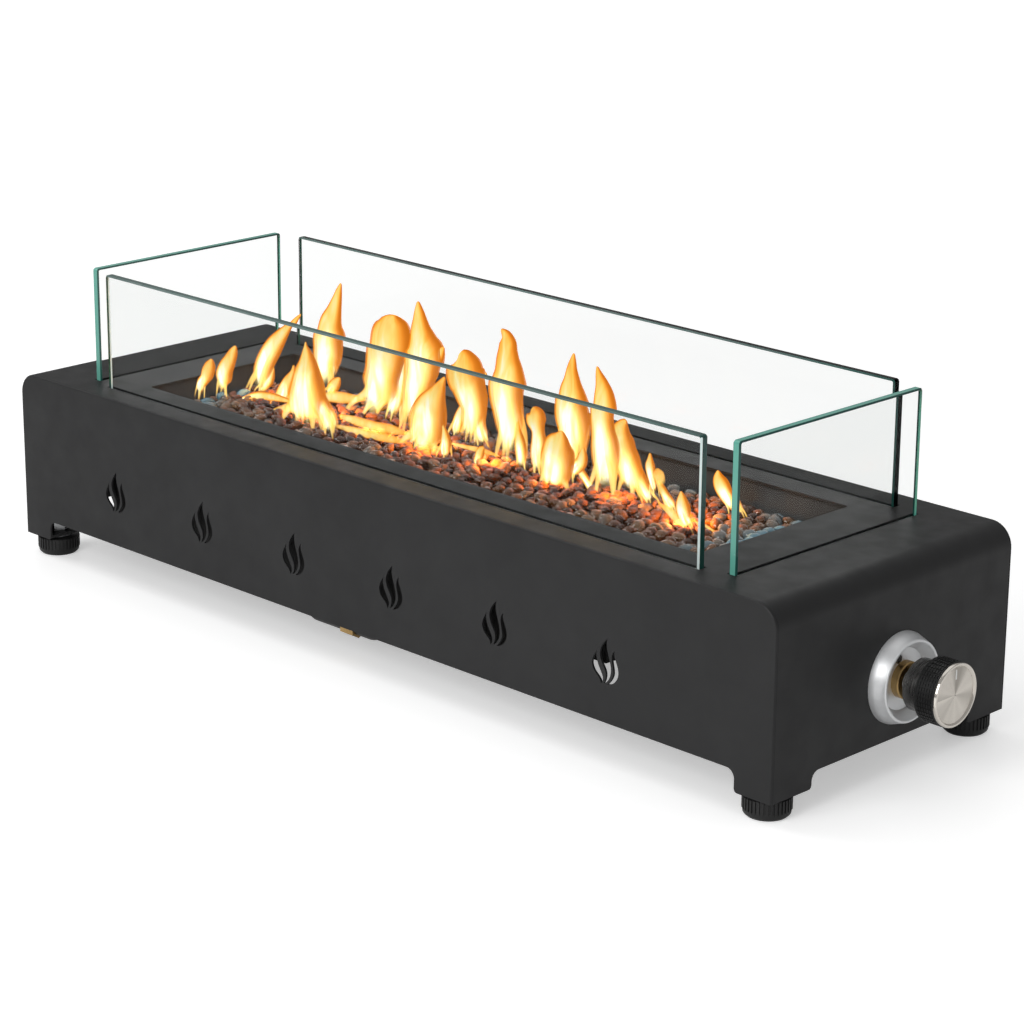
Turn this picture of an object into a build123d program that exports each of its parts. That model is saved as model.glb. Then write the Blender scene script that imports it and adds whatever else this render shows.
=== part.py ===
"""Tabletop gas fire pit with a glass wind screen, modelled piece by piece in millimetres.

+X runs along the body towards the control knob, -Y is the front, +Z is up.
The feet stand on Z = 0 and the origin is under the middle of the whole object.
"""
import os
from math import cos, pi, radians, sin

from build123d import *

# Sheet body
BODY_LENGTH = 700.0
BODY_WIDTH = 220.0
BODY_HEIGHT = 119.0
SHEET = 1.5
END_BEND = 15.0
PANEL_EDGE_ROUND = 1.3
WRAP_EDGE_ROUND = 0.6
LEG_WIDTH = 28.0
ARCH_HEIGHT = 14.0
END_LEG_WIDTH = 36.0
END_ARCH_HEIGHT = 10.5
ARCH_FILLET = 6.0
LEG_CORNER = 2.5

# Flame-shaped vents in the side panels
VENT_COUNT = 6
VENT_PITCH = 93.0
VENT_SHIFT = -12.7
VENT_DROP = 68.2
VENT_HEIGHT = 29.0

# Levelling feet
FOOT_RADIUS = 15.0
FOOT_CAP_HEIGHT = 12.5
FOOT_GAP = 1.5
FOOT_INSET = 16.0
FOOT_RIBS = 36
FOOT_RIB_DEPTH = 0.7
FOOT_BAND = 4.0
FOOT_CHAMFER = 1.5
STUD_RADIUS = 4.0
STUD_LENGTH = 32.0
STUD_SOCKET = 7.0
NUT_FLATS = 13.0
NUT_HEIGHT = 6.5
GUSSET_SHEET = 2.0
GUSSET_RAISE = 1.0
WASHER_RADIUS = 9.0

# Glass panes and the channels that carry them
GLASS = 6.0
GLASS_ABOVE_TOP = 80.0
GLASS_SUNK = 13.0
LONG_PANE_INSET = 22.0
LONG_PANE_END = 76.0
SHORT_PANE_INSET = 56.0
SHORT_PANE_END = 26.0
PANE_CORNER = 2.0
PANE_ARRIS = 1.0
SLOT_CLEARANCE = 0.4
SLOT_END_CLEARANCE = 1.0
CHANNEL_SHEET = 1.2

# Pit opening, burner pan and bead fill
PIT_END_MARGIN = 95.5
PIT_SIDE_MARGIN = 43.5
PIT_CORNER = 2.0
PAN_REVEAL = 2.0
PAN_FLANGE = 12.0
PAN_SHEET = 1.5
PAN_DEPTH = 45.0
PAN_END_SLOPE = 40.0
PAN_SIDE_SHARE = 2 / 7
FIXING_SHARE = 0.45
FIXING_RADIUS = 2.0
FIXING_LENGTH = 10.0
FIXING_NUT_FLATS = 8.0
FIXING_NUT_HEIGHT = 4.0
FIXINGS_PER_SIDE = 3
BED_DEPTH = 22.0
FILL_CLEARANCE = 0.3
BEAD_PITCH = 17.5
BEAD_RADIUS = 8.0
BEAD_HEIGHT = 10.0
BEAD_SIDES = 6

# Heat shield hung under the pan
SHIELD_SHEET = 1.2
SHIELD_LEFT_MARGIN = 64.0
SHIELD_RIGHT_MARGIN = 157.0
SHIELD_STEP_MARGIN = 210.0
SHIELD_LOW = 37.0
SHIELD_STEP_LOW = 50.5
SHIELD_PAN_GAP = 0.2

# Burner and its gas train
BURNER_END_GAP = 16.5
BURNER_RADIUS = 9.0
TUBE_WALL = 1.0
BURNER_RAISE = 2.0
PORT_RADIUS = 1.2
PORT_PITCH = 20.0
SADDLE_THICKNESS = 4.0
SADDLE_WIDTH = 16.0
TRENCH_CLEARANCE = 3.0
RISER_RADIUS = 5.0
MIXER_RADIUS = 8.0
MIXER_LENGTH = 78.0
AIR_SLOT_LENGTH = 14.0
AIR_SLOT_WIDTH = 7.0
INJECTOR_FLATS = 17.0
INJECTOR_HEX = 10.0
INJECTOR_PLUG = 9.0
INJECTOR_NECK = 12.0
PIPE_RADIUS = 4.0
PIPE_BEND = 10.0
LEAST_BEND = 2.0
SOCKET_CLEARANCE = 0.05
SOCKET_DEPTH = 9.0
HOLE_CLEARANCE = 0.4
PIPE_COLLAR = 2.0

# Gas valve behind the right end
VALVE_Y = 3.0
VALVE_DROP_SHARE = 0.5916
VALVE_LENGTH = 40.0
VALVE_WIDTH = 34.0
VALVE_HEIGHT = 30.0
VALVE_EDGE = 2.0
VALVE_PLATE = 2.0
VALVE_PLATE_WIDTH = 60.0
VALVE_PLATE_HEIGHT = 50.0
BOSS_RADIUS = 8.0
BOSS_LENGTH = 6.0
ROTOR_RADIUS = 7.95
ROTOR_LENGTH = 22.0
RUNNING_CLEARANCE = 0.05
STEM_RADIUS = 4.0
STEM_SUNK = 18.0
PUSH_STROKE = 4.0
COLLAR_RADIUS = 10.0
COLLAR_NUT_RADIUS = 11.5
COLLAR_REACH = 8.5
PIEZO_LENGTH = 30.0
PIEZO_SIDE = 14.0

# Bezel and control knob on the right end, measured outwards from the end face
BEZEL_RADIUS = 28.4
BEZEL_RIM = 1.5
BEZEL_LIP_RADIUS = 24.5
BEZEL_LIP_ROUND = 1.1
BEZEL_DEPTH = 10.8
DISH_RADIUS = 19.0
DISH_FLOOR = 3.5
BEZEL_SCREW_CIRCLE = 16.0
BEZEL_SCREW_ANGLES = (-65.0, 115.0)
SCREW_RADIUS = 1.95
SCREW_HEAD_RADIUS = 3.0
SCREW_HEAD_HEIGHT = 2.0
KNOB_START = 15.0
SKIRT_RADIUS = 16.0
SKIRT_LENGTH = 11.5
GRIP_RADIUS = 20.0
GRIP_BORE = 13.0
GRIP_LENGTH = 14.0
CAP_RADIUS = 19.6
CAP_RIM = 2.4
CAP_RIM_HEIGHT = 1.0
CAP_LENGTH = 2.0
EDGE_CHAMFER = 0.6

# Gas supply: inlet at the back, tube forward along the floor, union behind the front edge
INLET_X = -62.0
SUPPLY_INSET = 16.0
SUPPLY_Z = 22.5
INLET_Z = 14.0
CLIMB_BACK_Y = 30.0
CLIMB_FRONT_Y = 0.0
UNION_X = -14.0
UNION_LENGTH = 12.0
UNION_FLATS = 11.0
VALVE_RUN_DROP = 10.6
VALVE_RUN_START = 24.0
INLET_THREAD_RADIUS = 6.58
INLET_THREAD_LENGTH = 12.0
INLET_FLATS = 17.0
INLET_HEX_LENGTH = 5.5
INLET_NECK = 12.5
INLET_LIP_INSET = 33.0
BRACKET_SHEET = 1.5
BRACKET_WIDTH = 40.0
BRACKET_SHELF_Z = 34.0
BRACKET_BACK_HEIGHT = 28.0
BRACKET_LIP_BOTTOM = 4.0

# Ignition and flame sensing, beside the burner's right end
SENSOR_GAP = 12.0
SENSOR_SPREAD = 5.0
CERAMIC_RADIUS = 3.0
CERAMIC_LENGTH = 26.0
CERAMIC_FLANGE = 4.5
CERAMIC_FLANGE_HEIGHT = 3.0
SENSOR_PIN_RADIUS = 1.0
SENSOR_PIN_RISE = 6.0
PROBE_RADIUS = 2.5
PROBE_RISE = 15.0
PROBE_PIPE_GAP = 4.9
PROBE_NUT_RADIUS = 4.5
PROBE_NUT_HEIGHT = 3.0

# Places worked out from the sizes above
LEG_BOTTOM = FOOT_CAP_HEIGHT + FOOT_GAP
TOP = LEG_BOTTOM + BODY_HEIGHT
UNDER_TOP = TOP - SHEET
HALF_LENGTH = BODY_LENGTH / 2
HALF_INNER_WIDTH = BODY_WIDTH / 2 - SHEET
KNOB_REACH = KNOB_START + SKIRT_LENGTH + GRIP_LENGTH + CAP_LENGTH
FRAME_SHIFT = -KNOB_REACH / 2
LONG_PANE = BODY_LENGTH - 2 * LONG_PANE_END
LONG_PANE_Y = BODY_WIDTH / 2 - LONG_PANE_INSET
SHORT_PANE = BODY_WIDTH - 2 * SHORT_PANE_END
SHORT_PANE_X = HALF_LENGTH - SHORT_PANE_INSET
PIT_LENGTH = BODY_LENGTH - 2 * PIT_END_MARGIN
PIT_WIDTH = BODY_WIDTH - 2 * PIT_SIDE_MARGIN
PAN_SIDE_SLOPE = PIT_WIDTH * PAN_SIDE_SHARE
SHIELD_LEFT = SHIELD_LEFT_MARGIN - HALF_LENGTH
SHIELD_RIGHT = HALF_LENGTH - SHIELD_RIGHT_MARGIN
SHIELD_STEP = HALF_LENGTH - SHIELD_STEP_MARGIN
BURNER_LENGTH = PIT_LENGTH + 2 * (PAN_REVEAL - PAN_END_SLOPE - BURNER_END_GAP)
SENSOR_X = BURNER_LENGTH / 2 + SENSOR_GAP
VALVE_Z = TOP - BODY_HEIGHT * VALVE_DROP_SHARE
VALVE_FRONT = HALF_LENGTH - SHEET - VALVE_PLATE
VALVE_BACK = VALVE_FRONT - VALVE_LENGTH
PAN_FLOOR = UNDER_TOP - PAN_DEPTH
BED_TOP = UNDER_TOP - BED_DEPTH
BURNER_Z = PAN_FLOOR + BURNER_RAISE + BURNER_RADIUS
MIXER_START = -MIXER_RADIUS
MIXER_END = MIXER_START + MIXER_LENGTH
INJECTOR_END = MIXER_END + INJECTOR_HEX + INJECTOR_NECK
VALVE_INLET_X = VALVE_BACK + VALVE_LENGTH / 2
VALVE_BOTTOM = VALVE_Z - VALVE_HEIGHT / 2
VALVE_RUN_Z = VALVE_BOTTOM - BOSS_LENGTH - VALVE_RUN_DROP
SUPPLY_Y = SUPPLY_INSET - BODY_WIDTH / 2
INLET_LIP_Y = BODY_WIDTH / 2 - INLET_LIP_INSET
INLET_START = INLET_LIP_Y - INLET_NECK
INLET_HEX_START = INLET_LIP_Y + BRACKET_SHEET
CORNERS = {
    "front_left": (-1, -1),
    "front_right": (1, -1),
    "back_left": (-1, 1),
    "back_right": (1, 1),
}
FOOT_PLACES = {
    name: (sx * (HALF_LENGTH - FOOT_INSET), sy * (BODY_WIDTH / 2 - FOOT_INSET))
    for name, (sx, sy) in CORNERS.items()
}


def save(name, shape):
    """Write one node, moved so that the origin is under the middle of the whole object."""
    export_step(Pos(FRAME_SHIFT, 0, 0) * shape, f"parts/{name}.step")


def along_x(radius, start, end, y=VALVE_Y, z=VALVE_Z):
    """Cylinder along X from start to end."""
    middle = (start + end) / 2
    return Pos(middle, y, z) * Rot(0, 90, 0) * Cylinder(radius, end - start)


def upright(radius, low, high, x=0.0, y=0.0):
    """Cylinder along Z from low to high."""
    return Pos(x, y, (low + high) / 2) * Cylinder(radius, high - low)


def hex_along_x(flats, start, end, y, z):
    """Hexagonal bar along X."""
    section = RegularPolygon(flats / 2, 6, major_radius=False)
    return extrude(Plane(origin=(start, y, z), z_dir=(1, 0, 0)) * section, end - start)


def block(x, y, z):
    """Box from three (low, high) pairs."""
    size = [high - low for low, high in (x, y, z)]
    middle = [(high + low) / 2 for low, high in (x, y, z)]
    return Pos(*middle) * Box(*size)


def turned(points, x=HALF_LENGTH):
    """Solid of revolution round the knob axis, from (distance out, radius) points."""
    outline = make_face(Polyline(*points, close=True))
    solid = revolve(outline, Axis.X, 360)
    return Pos(x, VALVE_Y, VALVE_Z) * solid


def arched_outline(length, leg, arch):
    """Side outline with its lower edge arched between two legs."""
    bottom = (Align.CENTER, Align.MIN)
    outline = Pos(0, LEG_BOTTOM) * Rectangle(length, BODY_HEIGHT, align=bottom)
    outline -= Pos(0, LEG_BOTTOM) * Rectangle(length - 2 * leg, arch, align=bottom)
    arch_top = LEG_BOTTOM + arch
    hollow = [v for v in outline.vertices() if abs(v.Y - arch_top) < 0.01]
    outline = fillet(hollow, ARCH_FILLET)
    toes = [v for v in outline.vertices() if abs(v.Y - LEG_BOTTOM) < 0.01 and abs(v.X) < length / 2 - 1]
    return fillet(toes, LEG_CORNER)


def leaf(tip, left_side, foot, right_side):
    """One tongue of the flame vent, as shares of the vent height, closed by two curves."""
    points = [(x * VENT_HEIGHT, y * VENT_HEIGHT) for x, y in (tip, *left_side, foot, *right_side)]
    last_left = 1 + len(left_side)
    left_edge = Spline(*points[: last_left + 1])
    right_edge = Spline(*points[last_left:], points[0])
    return make_face(left_edge + right_edge)


def flame_vent():
    """Three-tongued flame: a leaf, a tall S-shaped tongue and a crescent."""
    left = leaf(
        (-0.23, 0.27),
        [(-0.33, 0.10), (-0.37, -0.05), (-0.30, -0.21), (-0.16, -0.33)],
        (-0.11, -0.44),
        [(-0.06, -0.30), (-0.14, -0.14), (-0.235, 0.06)],
    )
    middle = leaf(
        (0.055, 0.58),
        [(-0.09, 0.41), (-0.155, 0.22), (-0.09, 0.015), (0.015, -0.17), (0.01, -0.32)],
        (-0.035, -0.42),
        [(0.09, -0.32), (0.16, -0.125), (0.125, 0.10), (0.05, 0.325)],
    )
    right = leaf(
        (0.265, 0.365),
        [(0.18, 0.21), (0.205, 0.015), (0.23, -0.15), (0.165, -0.31)],
        (0.07, -0.42),
        [(0.25, -0.34), (0.365, -0.15), (0.325, 0.07), (0.255, 0.23)],
    )
    return left + middle + right


def long_panel(side):
    """Front (side -1) or back (side +1) panel."""
    outline = arched_outline(BODY_LENGTH, LEG_WIDTH, ARCH_HEIGHT)
    outline = fillet([v for v in outline.vertices() if v.Y > TOP - 0.01], END_BEND)
    first = VENT_SHIFT - VENT_PITCH * (VENT_COUNT - 1) / 2
    vent = flame_vent()
    for index in range(VENT_COUNT):
        outline -= Pos(first + index * VENT_PITCH, TOP - VENT_DROP) * vent
    inner_y = side * HALF_INNER_WIDTH
    plate = extrude(Plane(origin=(0, inner_y, 0), x_dir=(1, 0, 0), z_dir=(0, -1, 0)) * outline, -side * SHEET)
    outer_y = side * BODY_WIDTH / 2
    rim = [
        edge
        for edge in plate.edges()
        if abs(edge.center().Y - outer_y) < 0.01
        and (edge.center().Z > TOP - END_BEND or abs(edge.center().X) > HALF_LENGTH - 0.01)
    ]
    return fillet(rim, PANEL_EDGE_ROUND)


def pane_slots():
    """(centre x, centre y, size x, size y) of each pane seen from above."""
    return {
        "front": (0, -LONG_PANE_Y, LONG_PANE, GLASS),
        "back": (0, LONG_PANE_Y, LONG_PANE, GLASS),
        "left": (-SHORT_PANE_X, 0, GLASS, SHORT_PANE),
        "right": (SHORT_PANE_X, 0, GLASS, SHORT_PANE),
    }


def slot_size(size):
    """A pane's plan size grown by the slot's clearances."""
    return [s + 2 * (SLOT_CLEARANCE if s == GLASS else SLOT_END_CLEARANCE) for s in size]


def bezel_screw_places():
    """Y and Z of the two bezel screws."""
    return [
        (VALVE_Y + BEZEL_SCREW_CIRCLE * cos(radians(a)), VALVE_Z + BEZEL_SCREW_CIRCLE * sin(radians(a)))
        for a in BEZEL_SCREW_ANGLES
    ]


def drill_bezel_screws(solid, start, end):
    """Clearance holes for the bezel screws."""
    for y, z in bezel_screw_places():
        solid -= along_x(SCREW_RADIUS + SOCKET_CLEARANCE, start, end, y, z)
    return solid


def top_wrap():
    """Top and both ends as one bent sheet."""
    bottom = (Align.CENTER, Align.MIN)
    outer = Pos(0, LEG_BOTTOM) * Rectangle(BODY_LENGTH, BODY_HEIGHT, align=bottom)
    outer = fillet([v for v in outer.vertices() if v.Y > TOP - 0.01], END_BEND)
    inner = Pos(0, LEG_BOTTOM) * Rectangle(BODY_LENGTH - 2 * SHEET, BODY_HEIGHT - SHEET, align=bottom)
    inner = fillet([v for v in inner.vertices() if v.Y > UNDER_TOP - 0.01], END_BEND - SHEET)
    wrap = extrude(Plane.XZ * (outer - inner), HALF_INNER_WIDTH, both=True)
    ends = arched_outline(2 * HALF_INNER_WIDTH, END_LEG_WIDTH - SHEET, END_ARCH_HEIGHT)
    wrap &= extrude(Plane.YZ * ends, HALF_LENGTH, both=True)
    rim = [
        edge
        for edge in wrap.edges()
        if abs(abs(edge.center().Y) - HALF_INNER_WIDTH) < 0.01
        and (
            abs(edge.center().Z - TOP) < 0.01
            or abs(abs(edge.center().X) - HALF_LENGTH) < 0.01
            or (edge.geom_type == GeomType.CIRCLE and abs(edge.radius - END_BEND) < 0.01)
        )
    ]
    wrap = fillet(rim, WRAP_EDGE_ROUND)
    through = (UNDER_TOP - 1, TOP + 1)
    for x, y, *size in pane_slots().values():
        wide, deep = slot_size(size)
        wrap -= block((x - wide / 2, x + wide / 2), (y - deep / 2, y + deep / 2), through)
    pit = RectangleRounded(PIT_LENGTH, PIT_WIDTH, PIT_CORNER)
    wrap -= extrude(Plane.XY.offset(through[0]) * pit, through[1] - through[0])
    wrap -= along_x(COLLAR_RADIUS + 1, HALF_LENGTH - 2 * SHEET, HALF_LENGTH + 1)
    return drill_bezel_screws(wrap, HALF_LENGTH - 2 * SHEET, HALF_LENGTH + 1)


def pan_section(depth, grow=0.0):
    """Pan's inside length and width at a depth below its mouth."""
    share = depth / PAN_DEPTH
    length = PIT_LENGTH + 2 * PAN_REVEAL - 2 * PAN_END_SLOPE * share + 2 * grow
    width = PIT_WIDTH + 2 * PAN_REVEAL - 2 * PAN_SIDE_SLOPE * share + 2 * grow
    return length, width


def pan_plug(top_depth, bottom_depth, grow=0.0, drop=0.0):
    """Tapered block that fills the pan between two depths."""
    faces = []
    for depth, lower in ((top_depth, 0.0), (bottom_depth, drop)):
        plane = Plane.XY.offset(UNDER_TOP - depth - lower)
        faces.append(plane * Rectangle(*pan_section(depth, grow)))
    return loft(faces, ruled=True)


def fixing_places():
    """Where the pan's flange is bolted up to the top, in plan."""
    mouth_x, mouth_y = [s / 2 + PAN_FLANGE * FIXING_SHARE for s in pan_section(0)]
    step = PIT_LENGTH / FIXINGS_PER_SIDE
    along = [(index - (FIXINGS_PER_SIDE - 1) / 2) * step for index in range(FIXINGS_PER_SIDE)]
    sides = [(x, sy * mouth_y) for x in along for sy in (-1, 1)]
    return sides + [(-mouth_x, 0), (mouth_x, 0)]


def burner_pan():
    """Sloped tray with a flange that lies against the underside of the top."""
    flange = Rectangle(*[s + 2 * PAN_FLANGE for s in pan_section(0)])
    pan = extrude(Plane.XY.offset(UNDER_TOP - PAN_SHEET) * flange, PAN_SHEET)
    pan += pan_plug(0, PAN_DEPTH, grow=PAN_SHEET, drop=PAN_SHEET)
    pan -= pan_plug(0, PAN_DEPTH)
    for x, y in fixing_places():
        pan -= upright(FIXING_RADIUS + HOLE_CLEARANCE, UNDER_TOP - 2 * PAN_SHEET, UNDER_TOP + 1, x, y)
    below = PAN_FLOOR - 2 * PAN_SHEET
    pan -= upright(RISER_RADIUS + HOLE_CLEARANCE, below, PAN_FLOOR + 1)
    pan -= upright(CERAMIC_RADIUS + HOLE_CLEARANCE, below, PAN_FLOOR + 1, SENSOR_X, -SENSOR_SPREAD)
    pan -= upright(PROBE_RADIUS + HOLE_CLEARANCE, below, PAN_FLOOR + 1, SENSOR_X, SENSOR_SPREAD)
    return pan


def heat_shield():
    """Four sheet walls hung under the pan, cut shorter towards the valve, holed for the feed pipe."""
    half = pan_section(0)[1] / 2 + PAN_FLANGE
    inner = half - SHIELD_SHEET
    high = UNDER_TOP - PAN_SHEET
    shield = block((SHIELD_LEFT, SHIELD_RIGHT), (-half, half), (SHIELD_LOW, high))
    hollow_x = (SHIELD_LEFT + SHIELD_SHEET, SHIELD_RIGHT - SHIELD_SHEET)
    shield -= block(hollow_x, (-inner, inner), (SHIELD_LOW - 1, high + 1))
    shield -= block((SHIELD_STEP, SHIELD_RIGHT + 1), (-half - 1, half + 1), (SHIELD_LOW - 1, SHIELD_STEP_LOW))
    under_pan = PAN_FLOOR - PAN_SHEET - SHIELD_PAN_GAP
    shield -= block((hollow_x[1] - 1, SHIELD_RIGHT + 1), (-inner, inner), (under_pan, high + 1))
    return shield - along_x(PIPE_RADIUS + HOLE_CLEARANCE, hollow_x[1] - 1, SHIELD_RIGHT + 1)


def pan_fixings():
    """Weld studs under the top, each with its nut below the pan's flange."""
    nut_top = UNDER_TOP - PAN_SHEET
    nut = extrude(RegularPolygon(FIXING_NUT_FLATS / 2, 6, major_radius=False), FIXING_NUT_HEIGHT)
    fixings = []
    for x, y in fixing_places():
        stud = upright(FIXING_RADIUS, UNDER_TOP - FIXING_LENGTH, UNDER_TOP, x, y)
        fixings.append(stud + Pos(x, y, nut_top - FIXING_NUT_HEIGHT) * nut)
    return Compound(fixings)


def fire_glass_bed():
    """The fill of beads under the top layer, with room for the burner."""
    bed = pan_plug(BED_DEPTH, PAN_DEPTH, grow=-FILL_CLEARANCE)
    half_width = BURNER_RADIUS + TRENCH_CLEARANCE
    half_length = BURNER_LENGTH / 2 + TRENCH_CLEARANCE
    roof = BURNER_Z + BURNER_RADIUS + TRENCH_CLEARANCE / 2
    bed -= block((-half_length, SENSOR_X + half_width), (-half_width, half_width), (PAN_FLOOR - 1, roof))
    return bed


def bead(size, height, turn):
    """One rounded glass bead with few faces."""
    levels = ((0.0, 0.62), (0.35, 1.0), (0.7, 0.9), (1.0, 0.45))
    rings = []
    for rise, wide in levels:
        rings.append(Plane.XY.offset(height * rise) * RegularPolygon(size * wide, BEAD_SIDES))
    return Rot(0, 0, turn) * loft(rings, ruled=True)


def fire_glass():
    """Top layer of beads, uneven in size and turn, standing on the bed."""
    length, width = [s - 2 * BEAD_RADIUS - 2 * FILL_CLEARANCE for s in pan_section(BED_DEPTH)]
    columns = int(length // BEAD_PITCH) + 1
    rows = int(width // BEAD_PITCH) + 1
    beads = []
    for column in range(columns):
        for row in range(rows):
            wave = sin(column * 2.3 + row * 4.1)
            size = BEAD_RADIUS * (0.88 + 0.10 * wave)
            height = BEAD_HEIGHT * (0.80 + 0.20 * cos(column * 3.7 + row * 1.9))
            x = (column - (columns - 1) / 2) * length / (columns - 1)
            y = (row - (rows - 1) / 2) * width / (rows - 1)
            beads.append(Pos(x, y, BED_TOP) * bead(size, height, 37.0 * column + 23.0 * row))
    return Compound(beads)


def glass_pane(x, y, wide, deep):
    """Pane with softly rounded corners and ground edges."""
    length = max(wide, deep)
    low = UNDER_TOP - GLASS_SUNK + SHEET
    high = TOP + GLASS_ABOVE_TOP
    face = RectangleRounded(length, high - low, PANE_CORNER)
    pane = extrude(Plane.XZ * face, GLASS / 2, both=True)
    pane = chamfer(pane.faces().filter_by(Axis.Y).edges(), PANE_ARRIS)
    turn = 0 if wide > deep else 90
    return Pos(x, y, (low + high) / 2) * Rot(0, 0, turn) * pane


def pane_channel(x, y, wide, deep):
    """U-shaped sheet channel under a slot; the pane stands on its floor."""
    length = max(wide, deep) + 2 * SLOT_END_CLEARANCE
    inside = GLASS + 2 * SLOT_CLEARANCE
    depth = GLASS_SUNK - SHEET
    high = UNDER_TOP
    low = UNDER_TOP - GLASS_SUNK + SHEET
    half = inside / 2 + CHANNEL_SHEET
    channel = block((-length / 2, length / 2), (-half, half), (low - CHANNEL_SHEET, high))
    channel -= block((-length, length), (-inside / 2, inside / 2), (low, low + depth + 1))
    turn = 0 if wide > deep else 90
    return Pos(x, y, 0) * Rot(0, 0, turn) * channel


def foot_cap():
    """Ribbed plastic foot with a smooth chamfered band below, standing on Z = 0."""
    rib_width = pi * FOOT_RADIUS / FOOT_RIBS
    section = Circle(FOOT_RADIUS)
    groove = Rectangle(2 * FOOT_RIB_DEPTH, rib_width)
    for index in range(FOOT_RIBS):
        section -= Rot(0, 0, (index + 0.5) * 360 / FOOT_RIBS) * Pos(FOOT_RADIUS, 0) * groove
    band = Cylinder(FOOT_RADIUS - FOOT_RIB_DEPTH, FOOT_BAND, align=(Align.CENTER, Align.CENTER, Align.MIN))
    band = chamfer(band.faces().sort_by(Axis.Z)[0].edges(), FOOT_CHAMFER)
    cap = band + extrude(Plane.XY.offset(FOOT_BAND) * section, FOOT_CAP_HEIGHT - FOOT_BAND)
    socket_low = FOOT_CAP_HEIGHT - STUD_SOCKET
    return cap - upright(STUD_RADIUS + RUNNING_CLEARANCE, socket_low, FOOT_CAP_HEIGHT + 1)


def foot_stud():
    """Round stud from the foot's socket up through the weld nut."""
    low = FOOT_CAP_HEIGHT - STUD_SOCKET
    stud = upright(STUD_RADIUS, low, low + STUD_LENGTH)
    return chamfer(stud.faces().sort_by(Axis.Z)[-1].edges(), EDGE_CHAMFER)


def gusset(sx, sy):
    """Corner plate welded inside a leg."""
    far_x = sx * (HALF_LENGTH - SHEET)
    far_y = sy * HALF_INNER_WIDTH
    near_x = sx * (HALF_LENGTH - LEG_WIDTH)
    near_y = sy * (BODY_WIDTH / 2 - LEG_WIDTH)
    low = LEG_BOTTOM + GUSSET_RAISE
    plate = block(sorted((near_x, far_x)), sorted((near_y, far_y)), (low, low + GUSSET_SHEET))
    x, y = sx * (HALF_LENGTH - FOOT_INSET), sy * (BODY_WIDTH / 2 - FOOT_INSET)
    return plate - upright(STUD_RADIUS + HOLE_CLEARANCE, low - 1, low + GUSSET_SHEET + 1, x, y)


def foot_nuts():
    """Weld nuts on the four corner plates."""
    low = LEG_BOTTOM + GUSSET_RAISE + GUSSET_SHEET
    section = RegularPolygon(NUT_FLATS / 2, 6, major_radius=False) - Circle(STUD_RADIUS + RUNNING_CLEARANCE)
    nut = extrude(Plane.XY.offset(low) * section, NUT_HEIGHT)
    return Compound([Pos(x, y, 0) * nut for x, y in FOOT_PLACES.values()])


def foot_washers():
    """Rings under the corner plates that the feet stop against when screwed right in."""
    low = FOOT_CAP_HEIGHT
    high = LEG_BOTTOM + GUSSET_RAISE
    section = Circle(WASHER_RADIUS) - Circle(STUD_RADIUS + HOLE_CLEARANCE)
    ring = extrude(Plane.XY.offset(low) * section, high - low)
    return Compound([Pos(x, y, 0) * ring for x, y in FOOT_PLACES.values()])


def burner_tube():
    """Closed tube with a row of ports along its top."""
    half = BURNER_LENGTH / 2
    tube = along_x(BURNER_RADIUS, -half, half, 0, BURNER_Z)
    tube -= along_x(BURNER_RADIUS - TUBE_WALL, -half + TUBE_WALL, half - TUBE_WALL, 0, BURNER_Z)
    tube -= upright(RISER_RADIUS + SOCKET_CLEARANCE, BURNER_Z - BURNER_RADIUS - 1, BURNER_Z)
    ports = int((BURNER_LENGTH - PORT_PITCH) // PORT_PITCH)
    for index in range(ports):
        x = (index - (ports - 1) / 2) * PORT_PITCH
        tube -= upright(PORT_RADIUS, BURNER_Z, BURNER_Z + BURNER_RADIUS + 1, x)
    return tube


def burner_saddles():
    """Two cradles between the burner and the pan's floor."""
    saddles = []
    for sx in (-1, 1):
        x = sx * BURNER_LENGTH / 3
        reach = (x - SADDLE_THICKNESS / 2, x + SADDLE_THICKNESS / 2)
        saddle = block(reach, (-SADDLE_WIDTH / 2, SADDLE_WIDTH / 2), (PAN_FLOOR, BURNER_Z - 2))
        saddle -= along_x(BURNER_RADIUS + SOCKET_CLEARANCE, reach[0] - 1, reach[1] + 1, 0, BURNER_Z)
        saddles.append(saddle)
    return Compound(saddles)


def air_mixer():
    """Riser into the burner and mixing tube along X, with air slots near the jet."""
    riser_top = BURNER_Z - BURNER_RADIUS / 2
    mixer = along_x(MIXER_RADIUS, MIXER_START, MIXER_END) + upright(RISER_RADIUS, VALVE_Z, riser_top)
    mixer -= along_x(MIXER_RADIUS - TUBE_WALL, MIXER_START + TUBE_WALL, MIXER_END + 1)
    mixer -= upright(RISER_RADIUS - TUBE_WALL, VALVE_Z, riser_top + 1)
    slot = (MIXER_END - 2 * AIR_SLOT_LENGTH, MIXER_END - AIR_SLOT_LENGTH)
    half = AIR_SLOT_WIDTH / 2
    reach = (VALVE_Y - 2 * MIXER_RADIUS, VALVE_Y + 2 * MIXER_RADIUS)
    return mixer - block(slot, reach, (VALVE_Z - half, VALVE_Z + half))


def injector():
    """Brass jet plugged into the mixing tube, with a socket for the feed pipe."""
    plug = along_x(MIXER_RADIUS - TUBE_WALL - SOCKET_CLEARANCE, MIXER_END - INJECTOR_PLUG, MIXER_END)
    jet = plug + hex_along_x(INJECTOR_FLATS, MIXER_END, MIXER_END + INJECTOR_HEX, VALVE_Y, VALVE_Z)
    jet += along_x(PIPE_RADIUS + PIPE_COLLAR, MIXER_END + INJECTOR_HEX, INJECTOR_END)
    return jet - along_x(PIPE_RADIUS + SOCKET_CLEARANCE, INJECTOR_END - SOCKET_DEPTH, INJECTOR_END + 1)


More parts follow.
